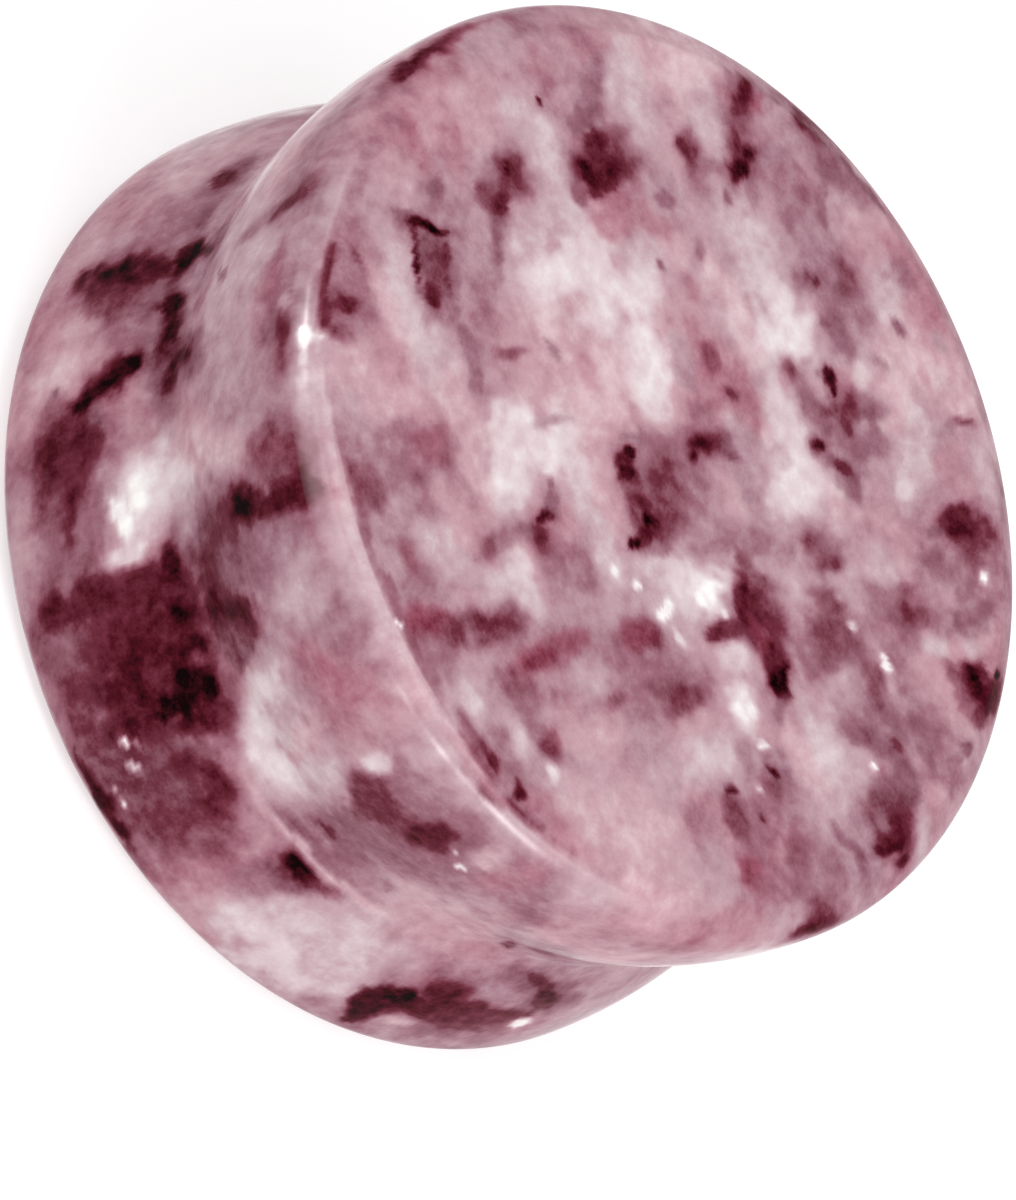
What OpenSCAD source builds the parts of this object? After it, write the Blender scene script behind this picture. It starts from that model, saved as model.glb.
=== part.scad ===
// Saddle plug for a stretched earlobe: one turned and polished piece of natural stone with two equal flares.
// It lies on its back face. +Z is its axis, and the origin is the middle of the face that it rests on.

/* [Size] */
// Diameter of the waist, which is the gauge that the lobe is stretched to
waist_d = 25.4; // [14:0.1:50]
// How far each flare stands out beyond the waist, all round
flare_step = 1; // [0.7:0.1:2]
// Height from face to face
plug_h = 13.6; // [11:0.1:18]

/* [Saddle] */
// Radius of the hollow round the waist
hollow_r = 2.1; // [1:0.1:4]

/* [Rim] */
// Height of the rim, from a flare's widest circle to its face
rim_h = 1.3; // [1.2:0.1:1.6]
// Radius of the rounded lip between the widest circle and the land
lip_r = 1.4; // [0.8:0.1:1.6]
// Angle that the lip turns through before the land cuts it, in degrees
lip_turn = 39; // [20:1:45]
// Width of the land round the face, seen from above
land_w = 0.8; // [0.5:0.1:1.5]

/* [Colour] */
// Pink of the polished stone
stone_color = "#b98a98"; // ["#b98a98", "#8a6f74", "#d9c3c8"]

/* [Hidden] */
$fn = 96;
half_h = plug_h / 2;
flare_r = waist_d / 2 + flare_step;
flare_z = half_h - rim_h;
// The shoulder is an arc tangent to the widest circle and to the hollow, so the depth of the saddle gives its radius
shoulder_r = (flare_step + flare_z * flare_z / flare_step) / 2 - hollow_r;
hollow_x = waist_d / 2 + hollow_r;
// Where the hollow passes into the shoulder
join_turn = asin(flare_z / (shoulder_r + hollow_r));
join_x = hollow_x - hollow_r * cos(join_turn);
join_z = hollow_r * sin(join_turn);
// Where the lip meets the land, and the land meets the face
lip_x = flare_r - lip_r;
land_x = lip_x + lip_r * cos(lip_turn);
land_z = flare_z + lip_r * sin(lip_turn);
face_x = land_x - land_w;
// The land's line carried on past the lip, so that it cuts the lip's arc clean off
cut_x = flare_r;
cut_z = half_h - (half_h - land_z) * (cut_x - face_x) / land_w;

stone_plug();

// Outline of the core between the two widest circles, with the hollow cut into its side
module core_outline() {
    difference() {
        translate([0, -flare_z]) square([join_x, 2 * flare_z]);
        translate([hollow_x, 0]) circle(r = hollow_r);
    }
}

// Outline of the gently rounded shoulder, from the hollow up to the widest circle
module shoulder_outline() {
    intersection() {
        translate([flare_r - shoulder_r, flare_z]) circle(r = shoulder_r);
        translate([join_x, join_z]) square([flare_r - join_x, flare_z - join_z]);
    }
}

// Outline of the rim: the lip's arc beside a square core, cut off by the land and the face
module rim_outline() {
    intersection() {
        union() {
            translate([lip_x, flare_z]) circle(r = lip_r);
            translate([0, flare_z]) square([lip_x, rim_h]);
        }
        polygon([
            [0, flare_z],
            [cut_x, flare_z],
            [cut_x, cut_z],
            [face_x, half_h],
            [0, half_h]
        ]);
    }
}

// One flare's outline, above the waist
module flare_outline() {
    shoulder_outline();
    rim_outline();
}

module stone_plug() {
    color(stone_color)
    translate([0, 0, half_h])
    rotate_extrude() {
        core_outline();
        flare_outline();
        mirror([0, 1]) flare_outline();
    }
}
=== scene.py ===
"""Looks of a saddle plug for a stretched earlobe, turned and polished from one piece of lepidolite in quartz.

The plug lies on its back face. Its middle is halfway up its axis, and every place in the stone is given in
millimetres from there. The meshes are in metres, in the frame of the CAD part.
"""

import itertools
import logging
import math
from collections.abc import Iterator
from dataclasses import dataclass, field
from enum import Enum
from typing import ClassVar

import bpy
import numpy as np
from mathutils import Matrix, Vector


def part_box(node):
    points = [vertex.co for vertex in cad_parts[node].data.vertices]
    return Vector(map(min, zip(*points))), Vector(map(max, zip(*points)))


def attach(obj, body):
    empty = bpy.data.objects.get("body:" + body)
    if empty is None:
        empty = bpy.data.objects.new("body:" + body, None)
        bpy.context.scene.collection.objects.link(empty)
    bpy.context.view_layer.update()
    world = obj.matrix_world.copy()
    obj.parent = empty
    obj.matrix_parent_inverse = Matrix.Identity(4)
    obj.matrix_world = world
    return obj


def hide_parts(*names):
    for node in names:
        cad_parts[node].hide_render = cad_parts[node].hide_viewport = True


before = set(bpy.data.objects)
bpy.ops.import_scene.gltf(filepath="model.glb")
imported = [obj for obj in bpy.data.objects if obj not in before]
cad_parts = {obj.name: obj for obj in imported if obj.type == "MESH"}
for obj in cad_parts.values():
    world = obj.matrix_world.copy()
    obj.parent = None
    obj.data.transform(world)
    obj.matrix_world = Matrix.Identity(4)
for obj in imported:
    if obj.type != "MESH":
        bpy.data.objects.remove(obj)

LOG = logging.getLogger("saddle_plug")
MM = 0.001
NODE = "stone_plug"
BODY = "root"
PIECE = "polished_stone_plug"

Inputs = dict[str | int, object]
Pair = tuple[float, float]
Triple = tuple[float, float, float]


def linear(hex_colour: str) -> tuple[float, float, float, float]:
    """Turns an sRGB colour into the linear colour that the shaders take.

    Args:
        hex_colour: the colour as "#RRGGBB".

    Returns:
        Linear red, green, blue and an alpha of 1.
    """
    parts = [int(hex_colour[i:i + 2], 16) / 255 for i in (1, 3, 5)]
    red, green, blue = (p / 12.92 if p <= 0.04045 else ((p + 0.055) / 1.055) ** 2.4 for p in parts)
    return red, green, blue, 1.0


def add_node(
    tree: bpy.types.NodeTree,
    kind: str,
    inputs: Inputs | None = None,
    stops: dict[float, str] | None = None,
    **settings: object,
) -> bpy.types.Node:
    """Adds one shader node with its settings and links.

    Args:
        tree: the node tree that gets the node.
        kind: the node's type, without its "ShaderNode".
        inputs: what goes into each socket, by its name or number: a value, or another node's output.
        stops: a colour ramp's colours, by their places on it.
        settings: the node's own properties.

    Returns:
        The new node.
    """
    node = tree.nodes.new("ShaderNode" + kind)
    for name, value in settings.items():
        setattr(node, name, value)
    if stops is not None:
        ramp = node.color_ramp
        while len(ramp.elements) > 1:
            ramp.elements.remove(ramp.elements[-1])
        for index, (place, colour) in enumerate(stops.items()):
            stop = ramp.elements[0] if index == 0 else ramp.elements.new(place)
            stop.position = place
            stop.color = linear(colour)
    for name, value in (inputs or {}).items():
        if isinstance(value, bpy.types.NodeSocket):
            tree.links.new(value, node.inputs[name])
        else:
            node.inputs[name].default_value = value
    return node


def smooth_step(share: np.ndarray) -> np.ndarray:
    """Eases values from 0 to 1, and holds them there outside that range."""
    held = np.clip(share, 0.0, 1.0)
    return held * held * (3.0 - 2.0 * held)


@dataclass(frozen=True)
class Clouding:
    """Smooth random clouding in the stone, the same on every run, in layers that each halve its size.

    The size is that of the largest clouds, in millimetres. Each layer is keep times as strong as the one
    before, and the shift between layers sees to it that their clouds don't line up.
    """

    seed: int
    size: float
    count: int
    keep: float
    strength: float = 1.0
    cells: int = 32
    shift: float = 7.3

    def at(self, points: np.ndarray) -> np.ndarray:
        """The clouding at each place.

        Args:
            points: places in the stone, a row for each.

        Returns:
            A value for each place, of about the clouding's strength at most, above or below 0.
        """
        total = np.zeros(len(points))
        for index in range(self.count):
            total += self.keep ** index * self.layer(points + self.shift * index, self.size / 2 ** index)
        return self.strength * total

    def layer(self, points: np.ndarray, size: float) -> np.ndarray:
        """One layer of clouds of a given size.

        Args:
            points: places in the stone, a row for each.
            size: how far apart the clouds lie.

        Returns:
            A value from -1 to 1 for each place.
        """
        table = np.random.default_rng(self.seed).uniform(-1.0, 1.0, (self.cells,) * 3)
        scaled = points / size + self.cells / 2
        corner = np.floor(scaled).astype(int)
        share = smooth_step(scaled - corner)
        total = np.zeros(len(points))
        for step in itertools.product((0, 1), repeat=3):
            weight = np.prod(np.where(step, share, 1.0 - share), axis=1)
            cell = (corner + step) % self.cells
            total += weight * table[cell[:, 0], cell[:, 1], cell[:, 2]]
        return total


class Shade(Enum):
    """What a patch of the stone is: its tone from black to white, its redness, and how soft its border is."""

    INK = (0.02, 0.4, 0.6)
    MAROON = (0.16, 0.55, 0.7)
    WINE = (0.28, 0.3, 0.9)
    RUST = (0.34, 1.0, 0.9)
    SMOKE = (0.38, -0.5, 1.0)
    MAUVE = (0.46, 0.0, 1.0)
    ROSE = (0.54, 0.5, 1.1)
    DUSK = (0.56, -0.6, 1.1)
    PINK = (0.67, 0.2, 1.1)
    CLOUD = (0.76, -0.4, 1.1)
    BLUSH = (0.78, 0.25, 1.1)
    MILK = (0.87, 0.0, 1.0)
    SNOW = (1.0, 0.0, 0.7)

    @property
    def tone(self) -> float:
        """How light the patch is."""
        return self.value[0]

    @property
    def blush(self) -> float:
        """How red the patch is, from -1, grey, to 1, rust."""
        return self.value[1]

    @property
    def border(self) -> float:
        """How wide the patch's border is, as a share of its half-width."""
        return self.value[2]


# The shades by their plain names, for the rows below
INK, MAROON, WINE, RUST, SMOKE, MAUVE, ROSE, DUSK, PINK, CLOUD, BLUSH, MILK, SNOW = Shade


@dataclass(frozen=True)
class Patch:
    """One patch of a single mineral: an ellipsoid in the stone, with a soft and ragged edge.

    It runs along and across the two directions, half its length, width and depth each way, in millimetres,
    and cover is how much of the stone it hides at its middle. Its core fades into a wide, weak halo, because
    light goes a little way into the stone. The reaches, the border and the raggedness count in half-widths.
    """

    CORE_SHARE: ClassVar[float] = 0.76
    CORE_RAGGED: ClassVar[float] = 0.35
    HALO_REACH: ClassVar[float] = 2.2
    HALO_BORDER: ClassVar[float] = 1.5
    HALO_RAGGED: ClassVar[float] = 0.3
    FARTHEST: ClassVar[float] = 3.0

    shade: Shade
    middle: Triple
    along: Triple
    across: Triple
    long: float
    wide: float
    deep: float
    cover: float

    def share(self, points: np.ndarray, ragged: np.ndarray) -> np.ndarray:
        """How much of each place the patch covers.

        Args:
            points: places in the stone.
            ragged: clouding that makes the patch's edge uneven.

        Returns:
            A value from 0 to 1 for each place.
        """
        offsets = points - np.array(self.middle)
        farthest = self.FARTHEST * max(self.long, self.wide, self.deep)
        near = np.flatnonzero((offsets ** 2).sum(axis=1) < farthest ** 2)
        away, uneven = offsets[near], ragged[near]
        along, across = np.array(self.along), np.array(self.across)
        inward = np.cross(along, across)
        reach = np.sqrt(
            (away @ along / self.long) ** 2
            + (away @ across / self.wide) ** 2
            + (away @ inward / self.deep) ** 2
        )
        border = self.shade.border
        core = smooth_step((1.0 + border / 2 - reach + self.CORE_RAGGED * uneven) / border)
        halo = smooth_step((self.HALO_REACH - reach + self.HALO_RAGGED * uneven) / self.HALO_BORDER)
        total = np.zeros(len(points))
        total[near] = self.cover * (self.CORE_SHARE * core + (1.0 - self.CORE_SHARE) * halo)
        return total


# How deep a patch goes under a face and under the side, in millimetres
FACE_DEPTH = 1.3
SIDE_DEPTH = 1.6


def on_face(face_z: float, shade: Shade, x: float, y: float, long: float, wide: float,
            turn: float, cover: float) -> Patch:
    """A patch that shows on a flat face.

    Args:
        face_z: the face's height from the plug's middle, in millimetres.
        shade: what the patch is made of.
        x: its place across the face, in millimetres.
        y: its place up the face, in millimetres.
        long: half its length, in millimetres.
        wide: half its width, in millimetres.
        turn: how far its length turns from +X, in degrees.
        cover: how much of the stone it hides at its middle.

    Returns:
        The patch.
    """
    cos, sin = math.cos(math.radians(turn)), math.sin(math.radians(turn))
    return Patch(shade, (x, y, face_z), (cos, sin, 0.0), (-sin, cos, 0.0), long, wide, FACE_DEPTH, cover)


def on_side(side_r: float, shade: Shade, angle: float, z: float, long: float, wide: float,
            turn: float, cover: float) -> Patch:
    """A patch that shows on the saddle round the waist.

    Args:
        side_r: how far the side lies from the axis, in millimetres.
        shade: what the patch is made of.
        angle: its place round the plug from -Y towards +X, in degrees.
        z: its height from the plug's middle, in millimetres.
        long: half its length, in millimetres.
        wide: half its width, in millimetres.
        turn: how far its length turns from level up to +Z, in degrees.
        cover: how much of the stone it hides at its middle.

    Returns:
        The patch.
    """
    cos, sin = math.cos(math.radians(turn)), math.sin(math.radians(turn))
    round_cos, round_sin = math.cos(math.radians(angle)), math.sin(math.radians(angle))
    middle = (side_r * round_sin, -side_r * round_cos, z)
    along = (cos * round_cos, cos * round_sin, sin)
    across = (-sin * round_cos, -sin * round_sin, cos)
    return Patch(shade, middle, along, across, long, wide, SIDE_DEPTH, cover)


FACE_COLUMNS = ("shade", "x", "y", "long", "wide", "turn", "cover")
SIDE_COLUMNS = ("shade", "angle", "z", "long", "wide", "turn", "cover")

# Each row is one patch of the front face, with the values that FACE_COLUMNS names.
FACE_PATCHES = (
    # Far left, beside the rim
    (WINE, -7.6, 10.75, 1.2, 0.24, 42, 0.8),
    (WINE, -7.3, 10.2, 0.7, 0.28, 35, 0.75),
    (MAROON, -7.75, 10.1, 0.42, 0.22, 20, 0.6),
    (SMOKE, -8.5, 9.5, 0.22, 0.14, 60, 0.4),
    (MAUVE, -6.6, 9.9, 0.7, 0.35, 20, 0.65),
    (MAUVE, -6.7, 10.4, 1.3, 0.6, 30, 0.6),
    (SMOKE, -6.35, 10.25, 0.5, 0.42, 0, 1.0),
    (SMOKE, -5.65, 10.7, 0.3, 0.14, -60, 0.7),
    (WINE, -5.6, 11.5, 1.3, 0.2, 27, 0.6),
    (MAUVE, -5.5, 11.1, 0.75, 0.33, 25, 0.8),
    (BLUSH, -11.15, 6.7, 2.2, 0.45, 59, 0.9),
    (PINK, -12.5, 3.6, 1.3, 0.35, 74, 0.8),
    (PINK, -9.3, 9.1, 0.6, 0.25, 45, 0.7),
    (PINK, -10.1, 8.5, 0.5, 0.22, 48, 0.7),
    (WINE, -8.8, 7.95, 0.88, 0.5, -42, 0.8),
    (MAUVE, -8.7, 7.3, 0.7, 0.4, -20, 0.6),
    (MAROON, -9.2, 8.35, 0.32, 0.2, -60, 0.85),
    (MAROON, -8.8, 7.9, 0.6, 0.22, -52, 0.9),
    (RUST, -8.65, 8.35, 0.55, 0.33, 70, 0.85),
    (WINE, -8.3, 7.7, 0.4, 0.3, -30, 0.7),
    (MAUVE, -9.5, 7.9, 0.3, 0.3, 0, 0.7),
    (ROSE, -9.2, 7.6, 0.6, 0.4, 0, 0.5),
    (DUSK, -7.25, 8.4, 0.7, 0.22, 90, 0.75),
    (WINE, -7.55, 7.15, 0.75, 0.5, -50, 0.75),
    (INK, -7.15, 6.85, 0.5, 0.25, -65, 1.0),
    (INK, -7.5, 7.35, 0.22, 0.14, -50, 0.8),
    (MAROON, -7.9, 7.15, 0.25, 0.2, 0, 0.6),
    (DUSK, -6.6, 6.15, 0.5, 0.15, -52, 0.8),
    (SMOKE, -6.45, 5.95, 0.18, 0.14, 0, 0.8),
    (MAROON, -6.85, 6.5, 0.25, 0.16, -60, 0.75),
    (SMOKE, -6.3, 7.0, 0.4, 0.3, 0, 0.35),
    (BLUSH, -10.6, 6.6, 1.5, 0.7, 55, 0.8),
    (BLUSH, -10.6, 5.3, 1.5, 1.0, 60, 0.75),
    (CLOUD, -8.3, 6.4, 0.9, 0.5, 0, 0.8),
    (WINE, -8.0, 5.15, 0.65, 0.4, -10, 0.8),
    (MAROON, -8.25, 5.0, 0.3, 0.2, 0, 0.6),
    (MAUVE, -7.4, 5.8, 0.5, 0.25, 50, 0.7),
    (MAUVE, -5.75, 8.6, 0.9, 0.8, 0, 0.65),
    (SMOKE, -5.35, 9.5, 0.45, 0.22, -20, 0.75),
    (WINE, -5.9, 9.0, 0.25, 0.18, 0, 0.5),
    # Left, above the middle
    (ROSE, -12.2, 2.8, 0.9, 0.7, 75, 0.7),
    (MAUVE, -12.3, 2.5, 0.4, 0.3, 60, 0.5),
    (ROSE, -11.6, 0.7, 0.8, 0.6, 0, 0.55),
    (CLOUD, -10.4, 3.8, 1.6, 0.7, 0, 0.8),
    (SMOKE, -10.6, 2.4, 0.75, 0.35, -50, 0.6),
    (SMOKE, -9.95, 1.7, 0.7, 0.28, 90, 0.75),
    (INK, -10.9, 0.33, 0.22, 0.13, -5, 0.95),
    (WINE, -8.7, 1.8, 1.15, 0.75, 85, 0.85),
    (MAUVE, -8.9, 2.9, 0.5, 0.3, 0, 0.4),
    (MAROON, -8.5, 1.5, 0.85, 0.4, 85, 0.95),
    (MAROON, -9.2, 1.85, 0.3, 0.35, 0, 0.85),
    (INK, -8.6, 0.95, 0.28, 0.15, -15, 0.45),
    (WINE, -8.0, 0.5, 0.3, 0.25, 0, 0.7),
    (DUSK, -9.3, 0.6, 0.3, 0.2, 0, 0.6),
    (MAROON, -7.9, 1.75, 0.25, 0.3, 0, 0.8),
    (ROSE, -7.0, 1.0, 0.5, 0.35, 60, 0.85),
    (MAROON, -7.95, 1.1, 0.22, 0.3, 0, 0.8),
    (ROSE, -7.1, 1.4, 1.05, 0.7, 65, 0.95),
    (ROSE, -6.3, 2.8, 0.6, 0.3, 70, 0.75),
    (DUSK, -7.3, 3.8, 0.6, 0.4, 0, 0.7),
    (SMOKE, -6.95, 3.6, 0.35, 0.22, 60, 0.75),
    (MAUVE, -5.35, 4.1, 0.38, 0.2, -50, 0.85),
    (SMOKE, -5.3, 2.38, 0.14, 0.13, 0, 0.85),
    (BLUSH, -5.6, 3.2, 0.5, 0.6, 0, 0.8),
    (CLOUD, -5.9, 1.9, 0.8, 0.5, 80, 0.8),
    (MILK, -5.0, 1.5, 0.9, 0.6, -20, 0.85),
    (PINK, -3.8, 3.0, 0.9, 0.6, 0, 0.75),
    (ROSE, -4.5, 3.2, 0.35, 0.25, 0, 0.6),
    (ROSE, -2.0, 3.2, 1.3, 0.7, 10, 0.85),
    (RUST, -2.4, 2.95, 0.42, 0.24, -10, 0.55),
    (ROSE, -3.2, 2.7, 0.5, 0.3, 0, 0.6),
    (WINE, -1.3, 3.2, 0.22, 0.14, 40, 0.85),
    (ROSE, -0.6, 3.6, 0.6, 0.33, 10, 0.8),
    (ROSE, -1.6, 3.85, 0.6, 0.2, 10, 0.6),
    (MAUVE, -0.85, 1.8, 0.3, 0.35, 0, 0.7),
    (ROSE, -1.5, 2.2, 0.9, 0.6, 0, 0.75),
    (DUSK, -2.6, 1.8, 0.7, 0.3, 0, 0.7),
    (WINE, -0.2, 1.4, 0.85, 0.45, 78, 0.75),
    (MAROON, -0.2, 1.3, 0.6, 0.28, 78, 0.9),
    (WINE, 0.0, 0.75, 0.25, 0.3, 0, 0.85),
    (MAROON, 0.05, 0.75, 0.2, 0.2, 0, 0.8),
    (SMOKE, 0.3, 2.2, 0.38, 0.14, 30, 0.9),
    (DUSK, 0.1, 2.75, 0.6, 0.4, 0, 0.65),
    # The two long pale fields left of the middle
    (CLOUD, -9.8, 0.0, 1.2, 0.5, 0, 0.85),
    (CLOUD, -8.1, -0.1, 0.8, 0.5, 0, 0.75),
    (MILK, -6.3, 0.2, 1.0, 0.7, 0, 0.85),
    (MILK, -3.2, 0.55, 1.9, 0.65, -12, 0.95),
    (MILK, -1.9, -0.1, 0.9, 0.4, 0, 0.95),
    (MILK, -5.2, -0.7, 1.9, 0.8, 20, 0.9),
    (MILK, -6.3, -1.9, 1.0, 1.1, 30, 0.85),
    (CLOUD, -10.3, -0.8, 0.8, 0.4, 0, 0.7),
    (CLOUD, -7.6, -0.9, 0.6, 0.4, 0, 0.7),
    (CLOUD, -7.5, -2.1, 0.6, 0.4, 90, 0.7),
    (PINK, -5.2, -1.4, 0.5, 0.35, 90, 0.8),
    (BLUSH, -3.2, -1.3, 1.0, 0.8, 0, 0.75),
    (BLUSH, -2.2, -2.6, 1.2, 0.9, 0, 0.8),
    (BLUSH, -4.4, -2.7, 0.9, 0.7, 0, 0.7),
    (ROSE, -3.3, -1.9, 0.5, 0.3, 0, 0.5),
    (MILK, -1.3, -3.8, 1.2, 0.7, 0, 0.8),
    # Top left, towards the far rim
    (PINK, -4.4, 11.7, 0.9, 0.3, 22, 0.6),
    (MAUVE, -2.75, 11.6, 0.5, 0.3, 20, 0.8),
    (ROSE, -1.5, 11.8, 0.8, 0.5, 0, 0.7),
    (ROSE, -2.3, 12.2, 1.2, 0.45, 8, 0.8),
    (ROSE, -3.4, 11.7, 0.8, 0.35, 12, 0.7),
    (MAUVE, -2.4, 11.9, 0.35, 0.2, 0, 0.5),
    (MAUVE, -2.55, 11.4, 0.5, 0.16, 60, 0.6),
    (DUSK, -0.5, 12.0, 0.35, 0.16, 30, 0.5),
    (BLUSH, 0.7, 12.2, 0.8, 0.5, 0, 0.7),
    (BLUSH, -0.8, 10.6, 1.5, 0.9, 30, 0.85),
    (MILK, 0.4, 11.2, 0.7, 0.35, 60, 0.5),
    (SMOKE, -1.3, 10.7, 0.3, 0.16, 25, 0.85),
    (CLOUD, -2.5, 10.8, 0.8, 0.6, -40, 0.85),
    (PINK, -4.0, 10.9, 0.9, 0.5, 0, 0.75),
    (BLUSH, 0.2, 9.5, 1.0, 0.8, 0, 0.7),
    (MILK, -0.4, 8.5, 0.5, 0.4, 60, 0.6),
    (SMOKE, -0.5, 9.35, 0.4, 0.14, 35, 0.5),
    (MAUVE, -3.0, 9.3, 1.1, 0.7, 0, 0.7),
    (WINE, -3.2, 9.4, 0.5, 0.35, -40, 0.7),
    (MAUVE, -2.0, 9.5, 0.6, 0.4, 0, 0.55),
    (SMOKE, -2.4, 8.4, 1.1, 0.5, -35, 0.8),
    (SMOKE, -1.5, 8.3, 0.6, 0.5, 0, 0.6),
    (WINE, -2.2, 8.15, 0.5, 0.16, -80, 0.5),
    (SMOKE, -3.35, 8.0, 0.7, 0.4, -80, 0.8),
    (INK, -3.35, 8.1, 0.14, 0.12, 0, 0.5),
    (INK, -3.5, 7.85, 0.16, 0.14, 0, 0.35),
    (MAUVE, -2.85, 8.2, 0.5, 0.4, 0, 0.8),
    (DUSK, -4.1, 7.4, 0.5, 0.4, 0, 0.6),
    (SMOKE, -3.5, 7.4, 0.4, 0.35, 0, 0.6),
    (DUSK, -4.5, 8.7, 0.9, 0.6, 0, 0.6),
    (MILK, -2.6, 6.3, 1.3, 0.8, -20, 0.95),
    (MILK, -2.2, 7.15, 0.6, 0.35, -20, 0.7),
    (MILK, -2.6, 5.5, 0.8, 0.4, 0, 0.75),
    (CLOUD, -4.3, 6.4, 1.4, 0.9, 0, 0.85),
    (CLOUD, -5.3, 5.6, 1.0, 0.8, 0, 0.75),
    (BLUSH, -3.0, 4.6, 1.3, 0.6, 0, 0.85),
    (BLUSH, -4.6, 4.3, 0.9, 0.5, 0, 0.7),
    (WINE, 0.15, 7.65, 0.6, 0.45, 70, 0.75),
    (MAROON, 0.25, 7.35, 0.45, 0.3, -60, 0.6),
    (INK, -0.75, 7.2, 0.33, 0.24, 0, 0.9),
    (INK, -0.3, 7.2, 0.25, 0.15, 0, 0.9),
    (SMOKE, -0.95, 6.85, 0.2, 0.15, 0, 0.7),
    (MAUVE, 0.15, 6.3, 0.5, 0.4, 0, 0.8),
    (WINE, 0.1, 6.85, 0.35, 0.3, 90, 0.85),
    (MAUVE, -0.4, 6.05, 1.15, 0.38, 15, 0.9),
    (WINE, -1.25, 5.8, 0.4, 0.2, 25, 0.65),
    (ROSE, -1.0, 5.4, 0.4, 0.25, 0, 0.6),
    (PINK, -0.6, 6.75, 0.25, 0.16, 0, 0.6),
    (MAUVE, -0.3, 6.75, 0.35, 0.25, 0, 0.7),
    (ROSE, -0.6, 7.7, 0.35, 0.3, 0, 0.6),
    (ROSE, 0.3, 10.9, 0.35, 0.3, 0, 0.5),
    # Top, right of the middle
    (SMOKE, 0.55, 8.5, 0.5, 0.28, 60, 0.6),
    (SMOKE, 1.4, 7.7, 0.7, 0.45, 60, 0.6),
    (SMOKE, 0.7, 7.8, 0.5, 0.22, 90, 0.3),
    (SMOKE, 1.3, 7.85, 0.35, 0.3, 0, 0.5),
    (MAUVE, 1.0, 6.8, 0.9, 0.4, 0, 0.6),
    (WINE, 0.7, 7.1, 0.3, 0.16, 0, 0.8),
    (MAUVE, 1.0, 5.75, 0.42, 0.36, 0, 0.65),
    (INK, 1.05, 5.7, 0.32, 0.27, 30, 0.95),
    (SMOKE, 1.5, 5.95, 0.4, 0.16, 45, 0.7),
    (MAROON, 1.8, 6.15, 0.3, 0.14, 35, 0.85),
    (SMOKE, 2.2, 6.0, 0.4, 0.25, 0, 0.5),
    (SMOKE, 2.3, 6.35, 0.5, 0.28, 10, 0.75),
    (DUSK, 2.15, 7.0, 0.3, 0.14, 60, 0.7),
    (MILK, 0.4, 4.9, 1.6, 0.6, -5, 0.95),
    (MILK, 1.8, 4.3, 0.8, 0.7, 0, 0.9),
    (MILK, 1.6, 3.6, 0.8, 0.6, -60, 0.7),
    (DUSK, 1.2, 2.5, 0.8, 0.3, 0, 0.6),
    (BLUSH, 2.6, 5.4, 0.6, 0.4, 0, 0.7),
    (PINK, 1.2, 1.6, 0.9, 0.5, 0, 0.85),
    (DUSK, 1.2, 2.2, 0.6, 0.25, 0, 0.7),
    (MAUVE, 2.7, 1.7, 0.4, 0.3, 90, 0.7),
    (BLUSH, 0.2, 4.0, 0.5, 0.2, -20, 0.6),
    (CLOUD, 2.6, 9.1, 1.0, 0.6, -60, 0.95),
    (MILK, 3.1, 8.4, 0.55, 0.3, -75, 0.75),
    (CLOUD, 1.5, 10.0, 0.6, 0.4, 0, 0.6),
    (ROSE, 2.8, 10.1, 0.4, 0.4, 0, 0.6),
    (WINE, 1.9, 11.75, 0.45, 0.13, 80, 0.8),
    (BLUSH, 1.3, 11.6, 0.5, 0.35, 90, 0.7),
    (BLUSH, 2.6, 12.6, 0.5, 0.3, 0, 0.8),
    (PINK, 1.3, 12.6, 0.5, 0.25, 0, 0.7),
    (DUSK, 1.9, 10.8, 0.4, 0.2, 90, 0.7),
    (ROSE, 3.3, 10.6, 0.9, 0.7, 0, 0.5),
    (CLOUD, 3.3, 11.8, 0.8, 0.4, -15, 0.6),
    (WINE, 4.9, 10.2, 0.85, 0.6, 75, 0.75),
    (MAROON, 4.6, 10.2, 0.75, 0.4, 72, 0.9),
    (MAROON, 4.3, 9.8, 0.4, 0.28, 0, 0.8),
    (INK, 4.6, 10.15, 0.35, 0.16, 80, 0.5),
    (MAROON, 4.7, 9.6, 0.3, 0.2, 60, 0.5),
    (WINE, 5.45, 10.0, 0.5, 0.28, 15, 0.8),
    (MAUVE, 5.7, 9.5, 0.8, 0.4, -30, 0.7),
    (WINE, 4.95, 11.1, 0.32, 0.2, 30, 0.75),
    (SMOKE, 4.5, 8.9, 0.35, 0.14, 80, 0.6),
    (SNOW, 6.1, 10.15, 0.2, 0.15, 0, 0.95),
    (SMOKE, 7.05, 8.85, 0.85, 0.36, 95, 0.85),
    (MAUVE, 6.4, 9.2, 0.6, 0.4, 0, 0.75),
    (SMOKE, 7.2, 8.5, 0.4, 0.25, 0, 0.6),
    (SMOKE, 6.25, 9.4, 0.2, 0.2, 0, 0.3),
    (PINK, 7.4, 10.5, 0.6, 0.35, -40, 0.75),
    (SMOKE, 5.5, 8.6, 0.5, 0.4, 0, 0.6),
    (MAUVE, 6.2, 7.8, 1.1, 0.7, 0, 0.75),
    (ROSE, 8.0, 9.8, 1.2, 0.3, -40, 0.5),
    (PINK, 10.5, 7.6, 0.5, 0.25, -50, 0.6),
    (INK, 8.8, 9.25, 0.13, 0.12, 0, 0.9),
    (MAROON, 9.45, 9.0, 0.6, 0.25, -48, 0.8),
    (MAROON, 8.9, 8.1, 0.8, 0.4, 12, 0.95),
    (INK, 8.8, 8.2, 0.45, 0.16, 20, 0.45),
    (MAROON, 9.25, 8.8, 0.35, 0.25, -60, 0.85),
    (MAROON, 9.3, 8.5, 0.5, 0.25, -45, 0.9),
    (WINE, 8.6, 7.4, 0.8, 0.3, 5, 0.7),
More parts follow.
